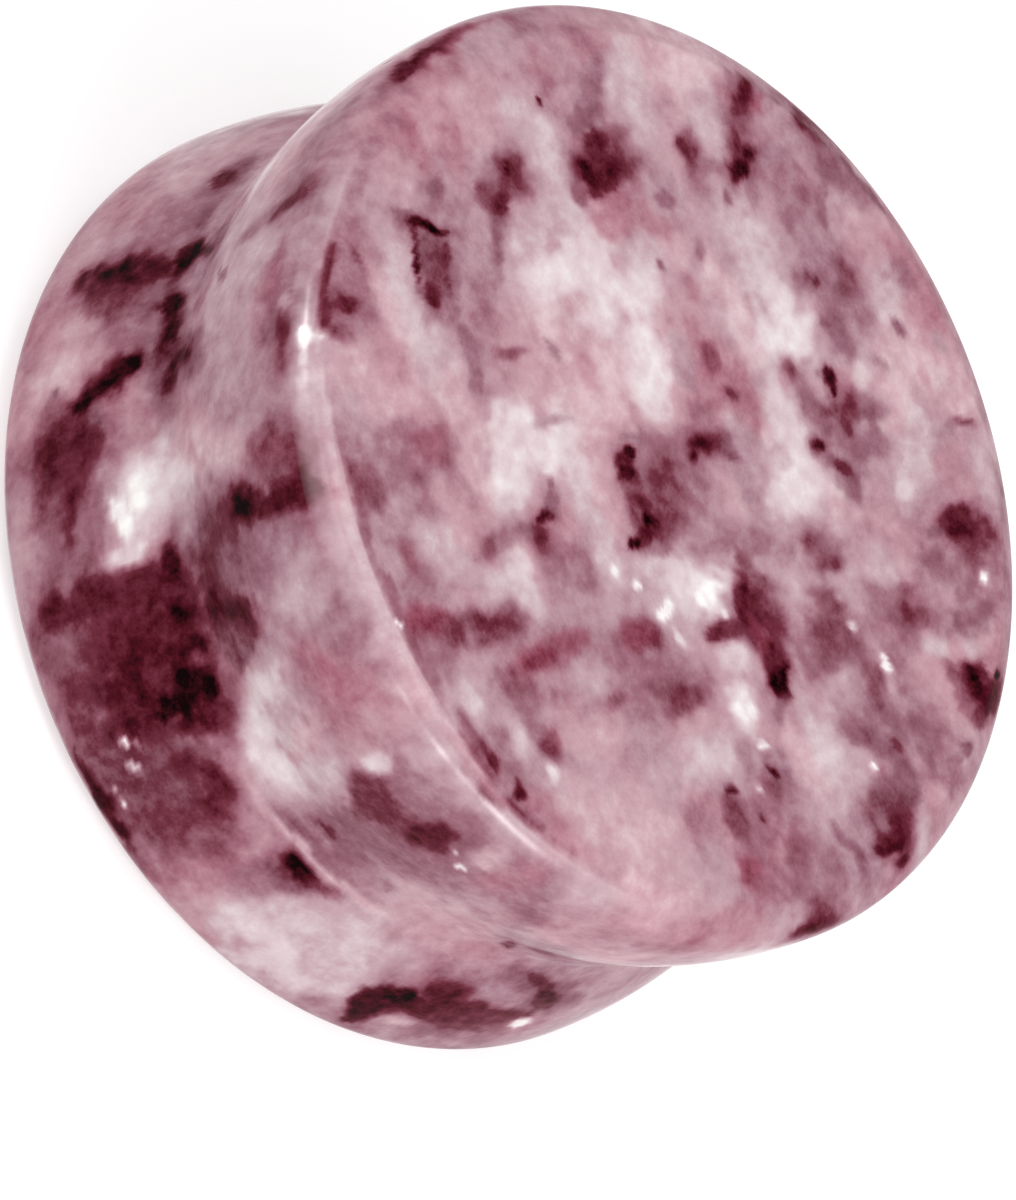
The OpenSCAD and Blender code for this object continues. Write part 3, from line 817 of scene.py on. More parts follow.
# Each row is one patch of the saddle, with the values that SIDE_COLUMNS names.
SIDE_PATCHES = (
    # Far left
    (WINE, -97.0, 2.7, 1.2, 0.4, 32, 0.85),
    (MAROON, -93.6, 2.5, 0.7, 0.22, 60, 0.85),
    (MAROON, -98.0, 1.6, 0.9, 0.2, 30, 0.85),
    (ROSE, -104.0, 0.9, 1.4, 0.3, 25, 0.7),
    # A painted reflection of the pale walls, laid as milky quartz
    (MILK, -82.0, 3.8, 2.4, 1.5, 0, 0.85),
    (BLUSH, -72.0, 3.2, 2.6, 1.4, 0, 0.8),
    (BLUSH, -64.5, 1.4, 1.7, 0.6, 35, 0.8),
    (MILK, -63.0, 1.5, 1.4, 0.4, 35, 0.6),
    (ROSE, -73.0, -4.8, 1.5, 0.5, 0, 0.7),
    (DUSK, -63.0, 5.1, 1.2, 0.6, 0, 0.6),
    # A painted reflection of the pale walls, laid as milky quartz
    (MILK, -96.0, -3.4, 2.0, 1.4, 0, 0.85),
    (MILK, -84.0, -5.2, 3.0, 0.7, 0, 0.7),
    (RUST, -81.0, 6.3, 1.9, 0.2, 0, 0.9),
    (MAROON, -78.5, 6.25, 1.0, 0.16, 0, 0.8),
    (MAUVE, -71.0, 6.25, 1.0, 0.25, 0, 0.7),
    (MAROON, -69.5, -1.1, 0.5, 0.24, 10, 0.9),
    (MAUVE, -59.5, -1.1, 0.8, 0.3, 0, 0.7),
    (SMOKE, -71.0, -0.9, 0.9, 0.3, 0, 0.7),
    (DUSK, -62.0, -0.4, 1.6, 0.35, 0, 0.75),
    (SMOKE, -60.0, -0.65, 0.9, 0.15, 0, 0.85),
    (ROSE, -64.0, -3.6, 1.5, 0.6, 60, 0.5),
    (BLUSH, -74.0, -2.7, 1.4, 0.9, 0, 0.55),
    (BLUSH, -62.0, -4.6, 1.6, 0.8, 0, 0.5),
    (PINK, -80.0, -1.3, 1.2, 0.7, 0, 0.6),
    (BLUSH, -80.0, -4.8, 1.5, 1.0, 0, 0.55),
    # Left
    (DUSK, -54.0, 5.0, 1.2, 0.6, 0, 0.5),
    (MAROON, -50.8, 5.1, 0.7, 0.24, 115, 0.7),
    (WINE, -52.5, 5.5, 0.5, 0.3, 120, 0.7),
    (SMOKE, -50.0, 3.7, 0.9, 0.25, 100, 0.6),
    (SMOKE, -54.0, 0.6, 0.9, 0.55, 0, 0.9),
    (DUSK, -50.0, 0.3, 0.9, 0.5, 60, 0.7),
    (INK, -54.0, 0.2, 0.35, 0.22, 60, 0.6),
    (INK, -53.9, -0.6, 0.9, 0.32, -10, 1.0),
    (MAROON, -52.0, -1.5, 0.6, 0.45, 90, 0.95),
    (MAROON, -52.4, -2.7, 1.6, 0.75, 92, 1.0),
    (INK, -52.7, -2.8, 1.0, 0.32, 92, 0.5),
    (WINE, -48.6, -2.6, 1.3, 0.75, 75, 0.85),
    (ROSE, -47.8, -5.0, 0.8, 0.5, 90, 0.8),
    (SMOKE, -42.5, -0.35, 2.6, 0.5, 5, 0.9),
    (SMOKE, -37.4, -0.45, 0.85, 0.6, 0, 0.9),
    (SMOKE, -37.6, 0.6, 1.2, 0.6, 60, 0.95),
    (INK, -46.7, -0.5, 0.45, 0.32, 10, 0.85),
    (INK, -43.5, -0.3, 0.5, 0.32, 20, 0.8),
    (INK, -37.4, 0.45, 0.4, 0.22, 70, 0.7),
    (INK, -40.5, -0.6, 0.4, 0.28, 10, 0.6),
    (INK, -35.2, -0.1, 0.5, 0.3, 0, 0.6),
    (SMOKE, -36.0, 1.2, 0.6, 0.2, 70, 0.85),
    (SMOKE, -46.3, 2.1, 0.45, 0.12, 50, 0.8),
    (MAROON, -37.0, -2.1, 1.2, 0.5, -55, 0.85),
    (INK, -36.9, -1.95, 0.7, 0.35, -50, 0.9),
    (INK, -38.0, -1.6, 0.6, 0.4, -40, 1.0),
    (INK, -35.0, -2.7, 0.5, 0.2, -60, 0.9),
    (SMOKE, -37.0, -4.0, 0.14, 0.13, 0, 0.9),
    (CLOUD, -42.0, 3.0, 3.5, 1.2, 10, 0.5),
    (WINE, -37.5, 5.3, 1.4, 0.6, 10, 0.75),
    (ROSE, -40.0, 5.1, 1.0, 0.5, 0, 0.7),
    (CLOUD, -44.5, 4.4, 0.8, 0.7, 0, 0.7),
    (MAROON, -31.0, 5.8, 0.9, 0.3, 0, 0.7),
    # A painted highlight, partly pale wear, where the glint lamp gleams on the front rim
    (SNOW, -31.0, 6.42, 0.3, 0.15, 0, 1.0),
    (SNOW, -28.6, 6.4, 0.3, 0.15, 0, 0.5),
    (MILK, -25.5, 6.35, 0.7, 0.2, 0, 0.5),
    (MAUVE, -33.0, 5.3, 0.9, 0.45, 0, 0.75),
    (MAUVE, -37.0, 6.0, 0.9, 0.2, 0, 0.7),
    (MILK, -36.5, 5.8, 0.3, 0.2, 0, 0.6),
    (BLUSH, -44.0, -4.0, 1.3, 1.2, 60, 0.75),
    (ROSE, -46.5, -4.9, 0.9, 0.7, 0, 0.6),
    (WINE, -26.5, -3.5, 1.5, 1.4, 0, 0.85),
    (BLUSH, -38.5, -4.4, 0.9, 0.9, 0, 0.8),
    (WINE, -32.5, -4.2, 0.7, 0.6, 0, 0.6),
    (ROSE, -48.5, -5.6, 0.7, 0.4, 0, 0.7),
    (SMOKE, -27.0, -2.3, 1.5, 0.3, 10, 0.7),
    (MAROON, -28.5, -2.6, 0.7, 0.5, 60, 0.9),
    (MAROON, -30.0, -4.0, 0.8, 0.5, -30, 0.9),
    (MAROON, -27.0, -3.0, 0.8, 0.5, 0, 0.7),
    (MAROON, -22.0, -3.5, 0.9, 0.35, -10, 0.8),
    (WINE, -21.8, -4.4, 0.5, 0.5, 0, 0.8),
    (MAUVE, -17.0, -3.6, 1.0, 1.2, 90, 0.75),
    (WINE, -26.5, -4.5, 0.6, 0.35, 60, 0.7),
    (BLUSH, -22.0, 2.8, 2.4, 0.8, 70, 0.75),
    (MILK, -20.5, -0.7, 1.3, 0.6, 0, 0.9),
    (MILK, -20.0, 0.5, 1.0, 0.5, 0, 0.8),
    (MILK, -14.6, -1.7, 0.5, 0.3, 90, 0.8),
    (PINK, -16.5, -2.3, 0.7, 0.3, 0, 0.7),
    (PINK, -24.3, -2.2, 0.8, 0.3, 0, 0.7),
    (MAUVE, -20.0, -2.35, 0.8, 0.2, 0, 0.7),
    (MILK, -20.0, -1.5, 1.4, 0.6, 0, 0.9),
    (SNOW, -18.0, -1.8, 0.6, 0.28, 10, 0.95),
    (SNOW, -21.0, -1.1, 0.5, 0.25, 0, 0.8),
    (PINK, -20.0, -5.2, 1.4, 0.6, 0, 0.7),
    # The large dark field left of the front
    (WINE, -18.6, 5.2, 1.3, 0.75, 60, 0.75),
    (RUST, -19.2, 5.0, 0.7, 0.45, 60, 0.35),
    (MAROON, -13.0, 5.2, 1.1, 0.5, 88, 1.0),
    (MAROON, -14.5, 3.8, 0.9, 0.5, 70, 0.9),
    (INK, -13.5, 3.7, 0.35, 0.28, 60, 0.55),
    (INK, -14.8, 3.3, 0.33, 0.28, 0, 0.55),
    (WINE, -13.5, 2.8, 0.9, 0.6, 100, 0.85),
    (SMOKE, -11.5, 1.5, 1.5, 1.2, 70, 0.95),
    (DUSK, -16.0, 0.5, 0.7, 0.6, 0, 0.7),
    (WINE, -12.0, 1.0, 1.1, 1.0, 60, 0.75),
    (SMOKE, -7.0, 3.0, 1.3, 0.6, 80, 0.7),
    (MAROON, -2.5, 1.6, 1.35, 0.75, 78, 0.85),
    (WINE, -0.7, 1.4, 1.05, 0.75, 90, 0.9),
    (SMOKE, 0.4, 0.9, 0.85, 0.55, 90, 0.85),
    (DUSK, 2.8, 2.5, 0.8, 0.35, 112, 0.65),
    (MAROON, -1.0, 0.6, 1.0, 0.6, 0, 0.8),
    (INK, -2.5, 2.0, 0.8, 0.36, 85, 0.45),
    (MAROON, -4.5, 0.5, 0.45, 0.28, 60, 0.7),
    (WINE, -5.0, 0.8, 1.4, 0.8, 0, 0.85),
    (DUSK, -8.0, 4.6, 0.9, 0.8, 60, 0.7),
    (CLOUD, -1.5, 4.9, 0.9, 0.8, 60, 0.8),
    (MAROON, -5.5, -0.5, 2.2, 0.55, 0, 0.85),
    (INK, -12.0, -0.5, 0.5, 0.3, 0, 0.75),
    (INK, -5.5, -0.5, 0.4, 0.25, 0, 0.7),
    (INK, 0.0, -0.4, 0.4, 0.25, 0, 0.7),
    (MAROON, -3.8, -2.3, 2.7, 1.8, 0, 1.0),
    (MAROON, 2.0, -2.9, 1.6, 0.9, -30, 0.9),
    (RUST, -3.0, -2.6, 1.8, 0.9, 0, 0.25),
    (INK, 3.8, -0.95, 0.62, 0.5, 60, 1.0),
    (INK, 4.3, -1.35, 0.6, 0.5, 60, 1.0),
    (INK, 4.7, -1.75, 0.6, 0.42, 70, 1.0),
    (WINE, 0.6, -0.2, 0.5, 0.3, 0, 0.6),
    (INK, 5.3, -2.1, 0.45, 0.25, 90, 0.9),
    (MAROON, -10.8, -4.0, 1.2, 0.42, 93, 0.85),
    (MAROON, -11.0, -1.6, 0.8, 0.42, 90, 0.9),
    (WINE, -6.0, -4.6, 1.8, 1.2, 0, 0.8),
    (MAUVE, -6.5, -4.7, 0.7, 0.8, 0, 0.6),
    (WINE, 12.0, -3.4, 2.9, 1.9, 0, 0.9),
    (SMOKE, 9.0, -3.0, 1.4, 1.3, 0, 0.6),
    (SMOKE, 12.0, -4.6, 1.8, 0.9, 0, 0.6),
    (WINE, 15.0, -5.0, 1.3, 0.4, 0, 0.7),
    (WINE, 3.0, -5.0, 1.0, 0.5, 0, 0.8),
    (WINE, 18.0, -4.4, 1.4, 1.0, 0, 0.7),
    (MAROON, 8.0, -1.5, 0.8, 0.5, 60, 0.75),
    (MAROON, 17.0, -2.0, 0.8, 0.45, -20, 0.85),
    (MAROON, 12.0, -2.4, 0.5, 0.3, 0, 0.7),
    (INK, 12.5, -5.75, 1.6, 0.32, 0, 0.85),
    (SNOW, 6.0, -3.85, 0.15, 0.15, 0, 1.0),
    (SNOW, 6.6, -3.5, 0.13, 0.12, 0, 0.9),
    (SNOW, 9.8, -4.0, 0.15, 0.14, 0, 0.8),
    (SNOW, 13.2, -5.0, 0.16, 0.13, 0, 0.9),
    (SNOW, 11.4, -5.0, 0.13, 0.12, 0, 0.6),
    # The front
    (MILK, 7.4, 1.5, 1.4, 0.5, 118, 0.95),
    (CLOUD, 11.5, 1.3, 1.4, 0.6, 120, 0.8),
    (MILK, 10.7, 0.5, 1.3, 0.5, 140, 0.95),
    (CLOUD, 17.5, -0.3, 1.8, 0.45, 0, 0.9),
    (MILK, 17.0, 0.2, 1.6, 0.4, 0, 0.8),
    (WINE, 8.5, -0.6, 0.9, 0.35, 0, 0.9),
    (MAROON, 8.2, -1.1, 0.42, 0.3, 0, 0.7),
    (MILK, 14.0, -0.3, 0.8, 0.3, 0, 0.8),
    (BLUSH, 15.0, 1.9, 1.4, 0.7, 115, 0.85),
    (CLOUD, 20.5, 1.4, 1.4, 0.6, 112, 0.85),
    (ROSE, 8.0, 4.9, 1.7, 1.0, 30, 1.0),
    (RUST, 9.0, 4.7, 1.0, 0.5, 20, 0.25),
    (MAUVE, 3.0, 6.2, 0.8, 0.3, 0, 0.8),
    (MAUVE, 5.0, 5.6, 0.8, 0.5, 30, 0.6),
    (ROSE, 12.5, 4.2, 1.4, 0.9, 0, 0.75),
    (PINK, 16.5, 5.2, 0.6, 0.6, 0, 0.75),
    (MILK, 19.8, 4.2, 0.4, 0.45, 0, 0.85),
    (WINE, 24.0, 3.0, 1.3, 0.6, 115, 0.85),
    (MAUVE, 31.0, 4.4, 2.4, 1.1, 0, 0.8),
    (WINE, 28.0, 3.7, 1.4, 0.45, 5, 0.75),
    (MAROON, 31.3, 3.9, 1.0, 0.45, 85, 0.85),
    (WINE, 27.5, 3.1, 0.8, 0.5, 0, 0.7),
    (MAUVE, 30.0, 1.6, 2.0, 1.2, 80, 0.85),
    (SMOKE, 28.5, 0.8, 1.2, 0.9, 0, 0.75),
    (MAUVE, 30.0, -0.7, 1.6, 0.25, 0, 0.8),
    (MAUVE, 34.0, 2.5, 1.0, 0.9, 90, 0.8),
    (WINE, 33.5, -1.4, 0.5, 0.25, 0, 0.8),
    (MAUVE, 37.3, 2.9, 1.6, 0.6, 75, 0.85),
    (ROSE, 41.0, 4.8, 1.3, 0.4, 85, 0.85),
    (BLUSH, 36.8, 5.2, 0.6, 0.4, 90, 0.8),
    (SMOKE, 29.0, 0.1, 1.6, 0.5, 0, 0.85),
    (INK, 27.5, 0.0, 0.5, 0.3, 0, 0.6),
    (SMOKE, 28.0, -0.6, 0.9, 0.2, 0, 0.6),
    (BLUSH, 31.0, -0.98, 2.6, 0.13, 0, 0.8),
    (WINE, 29.0, -1.7, 0.9, 0.4, 5, 0.85),
    (PINK, 24.0, -1.8, 0.9, 0.4, 5, 0.7),
    (INK, 30.5, -1.5, 0.5, 0.26, 10, 0.95),
    (SMOKE, 31.0, -2.2, 0.6, 0.4, 40, 0.7),
    (MAUVE, 29.5, -2.7, 0.8, 0.5, 70, 0.8),
    (ROSE, 24.5, -4.2, 1.5, 0.9, 70, 0.8),
    (WINE, 21.0, -3.9, 1.2, 0.6, 80, 0.7),
    (SNOW, 34.4, 4.3, 0.13, 0.12, 0, 0.7),
    (SNOW, 37.2, 4.0, 0.13, 0.12, 0, 0.8),
    (CLOUD, 36.0, -3.6, 1.8, 1.7, 0, 0.85),
    (CLOUD, 43.5, -3.4, 1.8, 2.0, 0, 0.85),
    (MILK, 40.0, -4.6, 2.6, 0.8, 0, 0.6),
    (BLUSH, 45.0, 0.6, 2.0, 1.2, 0, 0.7),
    (MAUVE, 46.0, 4.8, 1.6, 0.6, 120, 0.55),
    (DUSK, 53.0, 2.0, 1.4, 0.5, 120, 0.6),
    # Right
    (MAROON, 56.2, 0.75, 0.75, 0.14, 128, 0.8),
    (DUSK, 64.0, 1.2, 2.4, 0.8, 145, 0.9),
    (SMOKE, 61.0, 1.2, 1.2, 0.25, 145, 0.6),
    (MAUVE, 56.5, -1.3, 0.8, 0.35, 0, 0.8),
    (ROSE, 55.5, -0.2, 0.6, 0.5, 0, 0.7),
    (INK, 53.0, -4.1, 1.2, 0.5, 102, 0.85),
    (MAROON, 55.5, -3.6, 0.6, 0.5, 0, 0.9),
    (INK, 54.5, -3.2, 0.5, 0.3, 60, 0.8),
    (MAROON, 59.0, -2.3, 0.7, 0.6, 0, 0.95),
    (MAROON, 60.5, -3.0, 1.5, 0.65, 0, 1.0),
    (MAROON, 65.0, -3.0, 1.5, 0.6, 0, 0.85),
    (WINE, 68.0, -3.6, 1.4, 0.6, 0, 0.7),
    (BLUSH, 58.4, -4.4, 0.45, 0.3, 0, 0.8),
    (MAUVE, 66.0, -4.4, 1.8, 0.8, 0, 0.75),
    (SMOKE, 68.0, -1.3, 1.4, 0.5, 150, 0.8),
    (DUSK, 64.5, -1.7, 1.0, 0.4, 150, 0.8),
    (INK, 69.5, -1.2, 1.0, 0.22, 150, 0.45),
    (SMOKE, 75.5, -1.8, 1.1, 0.5, 150, 0.75),
    (SMOKE, 75.0, -5.8, 1.6, 0.28, 0, 0.9),
    (INK, 74.0, -2.0, 0.5, 0.3, 150, 0.35),
    (SNOW, 74.2, -3.35, 0.4, 0.3, 0, 0.95),
    (WINE, 86.0, 6.3, 0.9, 0.3, 0, 0.9),
    (MAROON, 85.5, 6.25, 0.5, 0.2, 0, 0.6),
    (MAUVE, 96.0, 4.2, 1.8, 0.6, 150, 0.85),
    (WINE, 95.5, 4.5, 1.5, 0.3, 152, 0.9),
    (MILK, 82.0, 4.2, 1.8, 1.0, 140, 0.6),
    (BLUSH, 80.0, 1.4, 2.0, 0.9, 140, 0.6),
)

# The clusters that lie where no patch is listed: their shades, from the field to the core, and how many of
# each there are on the back face. There are as many again on the far side.
HIDDEN_CLUSTERS = {
    (WINE, MAROON, INK): 15,
    (MAUVE, WINE, MAROON): 14,
    (CLOUD, MILK, SNOW): 16,
    (DUSK, SMOKE, INK): 12,
    (ROSE, RUST, WINE): 8,
    (PINK, BLUSH, MILK): 14,
}


@dataclass(frozen=True)
class HiddenClusters:
    """Seeded clusters of patches for the back face and the far side, of the same kinds as the listed patches.

    A cluster has one patch of its first shade, two of the next and three of the last, each kind smaller than
    the one before. The sizes, the spreads and the heights are in millimetres, and the angles in degrees.
    """

    # The plug's own sizes
    flare_r: float
    side_r: float
    half_h: float
    flare_z: float

    # Where the clusters lie: within a share of the flare's radius on the back face, and by angle and height
    # on the far side
    seed: int = 47
    back_reach: float = 0.85
    far_side: Pair = (112.0, 248.0)
    heights: Pair = (-6.0, 6.0)

    # How large a cluster is, and as shares of that, how far its patches scatter and how long they are
    spreads: Pair = (0.9, 1.9)
    scatter: float = 0.4
    shrink: float = 0.5
    lengths: Pair = (0.8, 1.3)

    # What each patch is: its width and its distance from the rim as shares of its length, its tilt and cover
    slimness: Pair = (0.35, 0.8)
    rim_clear: float = 0.8
    uneven_tilt: float = 25.0
    cover: float = 0.85

    def patches(self) -> list[Patch]:
        """Every patch of the clusters.

        Returns:
            The patches, in the order in which they are drawn at random.
        """
        chance = np.random.default_rng(self.seed)
        found: list[Patch] = []
        for shades, count in HIDDEN_CLUSTERS.items():
            for index in range(2 * count):
                found += self.cluster(chance, shades, index < count)
        return found

    def cluster(self, chance: np.random.Generator, shades: tuple[Shade, ...], on_back: bool) -> list[Patch]:
        """One cluster.

        Args:
            chance: where its random values come from.
            shades: its shades, from the field to the core.
            on_back: whether it lies on the back face, and not on the far side.

        Returns:
            Its patches.
        """
        spread, turn = chance.uniform(*self.spreads), chance.uniform(0.0, 180.0)
        reach = self.back_reach * self.flare_r * math.sqrt(chance.uniform())
        # In radians on the back face, and in degrees on the far side
        angle = chance.uniform(0.0, 2 * math.pi) if on_back else chance.uniform(*self.far_side)
        height = chance.uniform(*self.heights)
        found: list[Patch] = []
        for step, shade in enumerate(shades):
            for _ in range(step + 1):
                # The first patch lies in the cluster's middle
                away_x, away_y = chance.normal(0.0, self.scatter * spread, 2) * min(step, 1)
                long = spread * self.shrink ** step * chance.uniform(*self.lengths)
                wide = long * chance.uniform(*self.slimness)
                tilt = turn + chance.normal(0.0, self.uneven_tilt)
                if on_back:
                    x = reach * math.cos(angle) + away_x
                    y = reach * math.sin(angle) + away_y
                    found.append(on_face(-self.half_h, shade, x, y, long, wide, tilt, self.cover))
                else:
                    # Clear of the front rim, which the listed patches cover
                    z = min(height + away_y, self.flare_z - self.rim_clear * long)
                    around = angle + math.degrees(away_x / self.side_r)
                    found.append(on_side(self.side_r, shade, around, z, long, wide, tilt, self.cover))
        return found


@dataclass
class StonePlug:
    """The plug: one lathe-turned stone with a flare at each end, kept fine enough to carry its patches.

    Lengths are in millimetres, and angles in degrees.
    """

    # The turned outline, with the sizes of the CAD part, and how far polishing breaks its two sharp edges
    hollow_r: float = 2.1
    rim_h: float = 1.3
    lip_r: float = 1.4
    lip_turn: float = 39.0
    land_w: float = 0.8
    flare_step: float = 1.0
    edge_break: float = 0.28
    inner_break: float = 0.12
    flare_r: float = field(init=False)
    half_h: float = field(init=False)

    # How fine the mesh is: points round the plug, spacings on the front face, the outline and the back face,
    # and points and steps across the broken edges and the land
    around: int = 512
    face_fine: float = 0.145
    fine: float = 0.17
    coarse: float = 0.34
    break_points: int = 7
    land_steps: int = 4

    # The stone under the patches, with painted shade a little darker in the saddle, and the unevenness of
    # patch edges
    ground_tone: float = 0.63
    ground_blush: float = 0.1
    saddle_shade: float = 0.05
    tone_clouds: Clouding = Clouding(seed=31, size=2.8, count=4, keep=0.8, strength=0.06)
    blush_clouds: Clouding = Clouding(seed=32, size=4.0, count=3, keep=0.6, strength=0.3)
    fine_clouds: Clouding = Clouding(seed=33, size=1.0, count=3, keep=0.9, strength=0.04)
    ragged_clouds: Clouding = Clouding(seed=21, size=1.0, count=3, keep=0.8)
    swirls: tuple[Clouding, ...] = tuple(
        Clouding(seed=seed, size=1.2, count=3, keep=0.8, strength=0.13) for seed in (11, 12, 13)
    )

    # The rim: how far its broken edge gleams, the painted sheen that pales the front land, widest where it
    # faces the front most, and the painted shade that darkens the far land. The places count from 1 on the -Y
    # side to
    # -1 on the +Y side
    edge_clouds: Clouding = Clouding(seed=41, size=1.6, count=3, keep=0.8, strength=0.6)
    edge_wear: float = 0.75
    edge_least: float = 0.15
    edge_from: float = 0.4
    sheen_from: float = 0.45
    front_ease: float = 0.3
    land_sheen: float = 0.75
    sheen_full_from: float = 0.8
    sheen_full_ease: float = 0.2
    sheen_inward: float = 0.4
    far_from: float = 0.3
    far_shade: float = 0.03

    def __post_init__(self) -> None:
        """Takes the outer sizes from the CAD part."""
        low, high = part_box(NODE)
        self.flare_r = (high.x - low.x) / 2 / MM
        self.half_h = (high.z - low.z) / 2 / MM

    @property
    def flare_z(self) -> float:
        """How far the widest circle of each flare lies from the plug's middle."""
        return self.half_h - self.rim_h

    @property
    def side_r(self) -> float:
        """How far the saddle's patches lie from the axis, halfway between the waist and the flares."""
        return self.flare_r - self.flare_step / 2

    @property
    def lip_end(self) -> Pair:
        """The sharp corner between lip and land, as distance from the axis and height."""
        turn = math.radians(self.lip_turn)
        x = self.flare_r - self.lip_r + self.lip_r * math.cos(turn)
        return x, self.flare_z + self.lip_r * math.sin(turn)

    def arc(self, middle: Pair, radius: float, start: float, end: float) -> list[Pair]:
        """Points along an arc of the outline.

        Args:
            middle: the arc's centre, as distance from the axis and height.
            radius: its radius.
            start: the angle of its first point from level.
            end: the angle of its last point.

        Returns:
            The points, about as far apart as the mesh is fine.
        """
        count = max(3, math.ceil(radius * abs(math.radians(end - start)) / self.fine))
        angles = np.radians(np.linspace(start, end, count + 1))
        return [(middle[0] + radius * math.cos(a), middle[1] + radius * math.sin(a)) for a in angles]

    def broken_edge(self, before: Pair, corner: Pair, after: Pair, reach: float) -> list[Pair]:
        """The few points that round a sharp corner off, as polishing does.

        Args:
            before: a point on the line into the corner.
            corner: the corner itself.
            after: a point on the line out of it.
            reach: how far from the corner the rounding starts and ends.

        Returns:
            Points on a small curve from one line to the other.
        """
        here = Vector(corner)
        start = here + (Vector(before) - here).normalized() * reach
        end = here + (Vector(after) - here).normalized() * reach
        steps = np.linspace(0.0, 1.0, self.break_points)
        return [tuple(start.lerp(here, t).lerp(here.lerp(end, t), t)) for t in steps]

    def upper_outline(self) -> list[Pair]:
        """The outline from the waist up to the border of the front face.

        Returns:
            Its points, as distance from the axis and height.
        """
        flare_z, lip_end = self.flare_z, self.lip_end
        waist_r = self.flare_r - self.flare_step
        shoulder_r = (self.flare_step + flare_z ** 2 / self.flare_step) / 2 - self.hollow_r
        join_turn = math.degrees(math.asin(flare_z / (shoulder_r + self.hollow_r)))
        hollow = self.arc((waist_r + self.hollow_r, 0.0), self.hollow_r, 180.0, 180.0 - join_turn)
        shoulder = self.arc((self.flare_r - shoulder_r, flare_z), shoulder_r, -join_turn, 0.0)
        lip_stop = self.lip_turn - math.degrees(self.edge_break / self.lip_r)
        lip = self.arc((self.flare_r - self.lip_r, flare_z), self.lip_r, 0.0, lip_stop)
        face_edge = (lip_end[0] - self.land_w, self.half_h)
        outer = self.broken_edge(lip[-1], lip_end, face_edge, self.edge_break)
        inner = self.broken_edge(lip_end, face_edge, (0.0, self.half_h), self.inner_break)
        steps = np.linspace(0.0, 1.0, self.land_steps + 1)[1:-1]
        land = [tuple(Vector(outer[-1]).lerp(Vector(inner[0]), t)) for t in steps]
        return hollow[:-1] + shoulder[:-1] + lip[:-1] + outer + land + inner

    def face_rings(self, face_x: float, spacing: float) -> list[tuple[float, int]]:
        """The rings inside a flat face, with half as many points wherever the last half would crowd.

        Args:
            face_x: the radius of the face's border.
            spacing: how far apart the rings lie.

        Returns:
            Radius and count of each ring, from the middle outwards.
        """
        found: list[tuple[float, int]] = []
        radius, count = face_x - spacing, self.around
        while radius > spacing:
            if 2 * math.pi * radius / count < spacing / 2 and count % 2 == 0:
                count //= 2
            found.append((radius, count))
            radius -= spacing
        return found[::-1]

    def rings(self) -> Iterator[tuple[float, float, int]]:
        """Every ring of the mesh from the middle of the front face to the middle of the back face.

        Yields:
            The ring's radius and height, and how many points it has.
        """
        upper = self.upper_outline()
        face_x = upper[-1][0]
        for radius, count in self.face_rings(face_x, self.face_fine):
            yield radius, self.half_h, count
        for radius, z in reversed(upper):
            yield radius, z, self.around
        for radius, z in upper[1:]:
            yield radius, -z, self.around
        for radius, count in reversed(self.face_rings(face_x, self.coarse)):
            yield radius, -self.half_h, count

    def build_mesh(self) -> tuple[bpy.types.Mesh, np.ndarray]:
        """Turns the outline round the axis.

        Returns:
            The mesh in metres, and its points in millimetres from the plug's middle.
        """
        points: list[Triple] = [(0.0, 0.0, self.half_h)]
        starts: list[tuple[int, int]] = []
        for radius, z, count in self.rings():
            starts.append((len(points), count))
            for index in range(count):
                turn = 2 * math.pi * index / count
                points.append((radius * math.cos(turn), radius * math.sin(turn), z))
        points.append((0.0, 0.0, -self.half_h))
        faces: list[tuple[int, ...]] = []
        first, last = starts[0], starts[-1]
        for index in range(first[1]):
            faces.append((0, first[0] + index, first[0] + (index + 1) % first[1]))
        for near, far in itertools.pairwise(starts):
            faces += self.between(near, far)
        for index in range(last[1]):
            faces.append((len(points) - 1, last[0] + (index + 1) % last[1], last[0] + index))
        places = np.array(points)
        mesh = bpy.data.meshes.new(PIECE)
        metres = (places + (0.0, 0.0, self.half_h)) * MM
        mesh.from_pydata(metres.tolist(), [], faces)
        mesh.shade_smooth()
        return mesh, places

    @staticmethod
    def between(near: tuple[int, int], far: tuple[int, int]) -> list[tuple[int, ...]]:
        """Faces between two rings, of which one may have twice the other's points.

        Args:
            near: the first point and the count of the ring nearer to the front face's middle.
            far: the same of the next ring.

        Returns:
            The faces, wound to face outwards.
        """
        (a, count_a), (b, count_b) = near, far
        faces: list[tuple[int, ...]] = []
        for index in range(min(count_a, count_b)):
            after_a, after_b = a + (index + 1) % count_a, b + (index + 1) % count_b
            if count_a == count_b:
                faces.append((a + index, b + index, after_b, after_a))
            elif count_b > count_a:
                low, mid, high = b + 2 * index, b + 2 * index + 1, b + (2 * index + 2) % count_b
                faces += [(a + index, low, mid), (a + index, mid, after_a), (after_a, mid, high)]
            else:
                low, mid, high = a + 2 * index, a + 2 * index + 1, a + (2 * index + 2) % count_a
                faces += [(low, b + index, mid), (mid, b + index, after_b), (mid, after_b, high)]
        return faces

    def patches(self) -> list[Patch]:
        """Every patch of the stone.

        Returns:
            The patches, the largest first, so that small ones lie over them.
        """
        found = [on_face(self.half_h, **dict(zip(FACE_COLUMNS, row))) for row in FACE_PATCHES]
        found += [on_side(self.side_r, **dict(zip(SIDE_COLUMNS, row))) for row in SIDE_PATCHES]
        found += HiddenClusters(self.flare_r, self.side_r, self.half_h, self.flare_z).patches()
        return sorted(found, key=lambda patch: -patch.long * patch.wide)

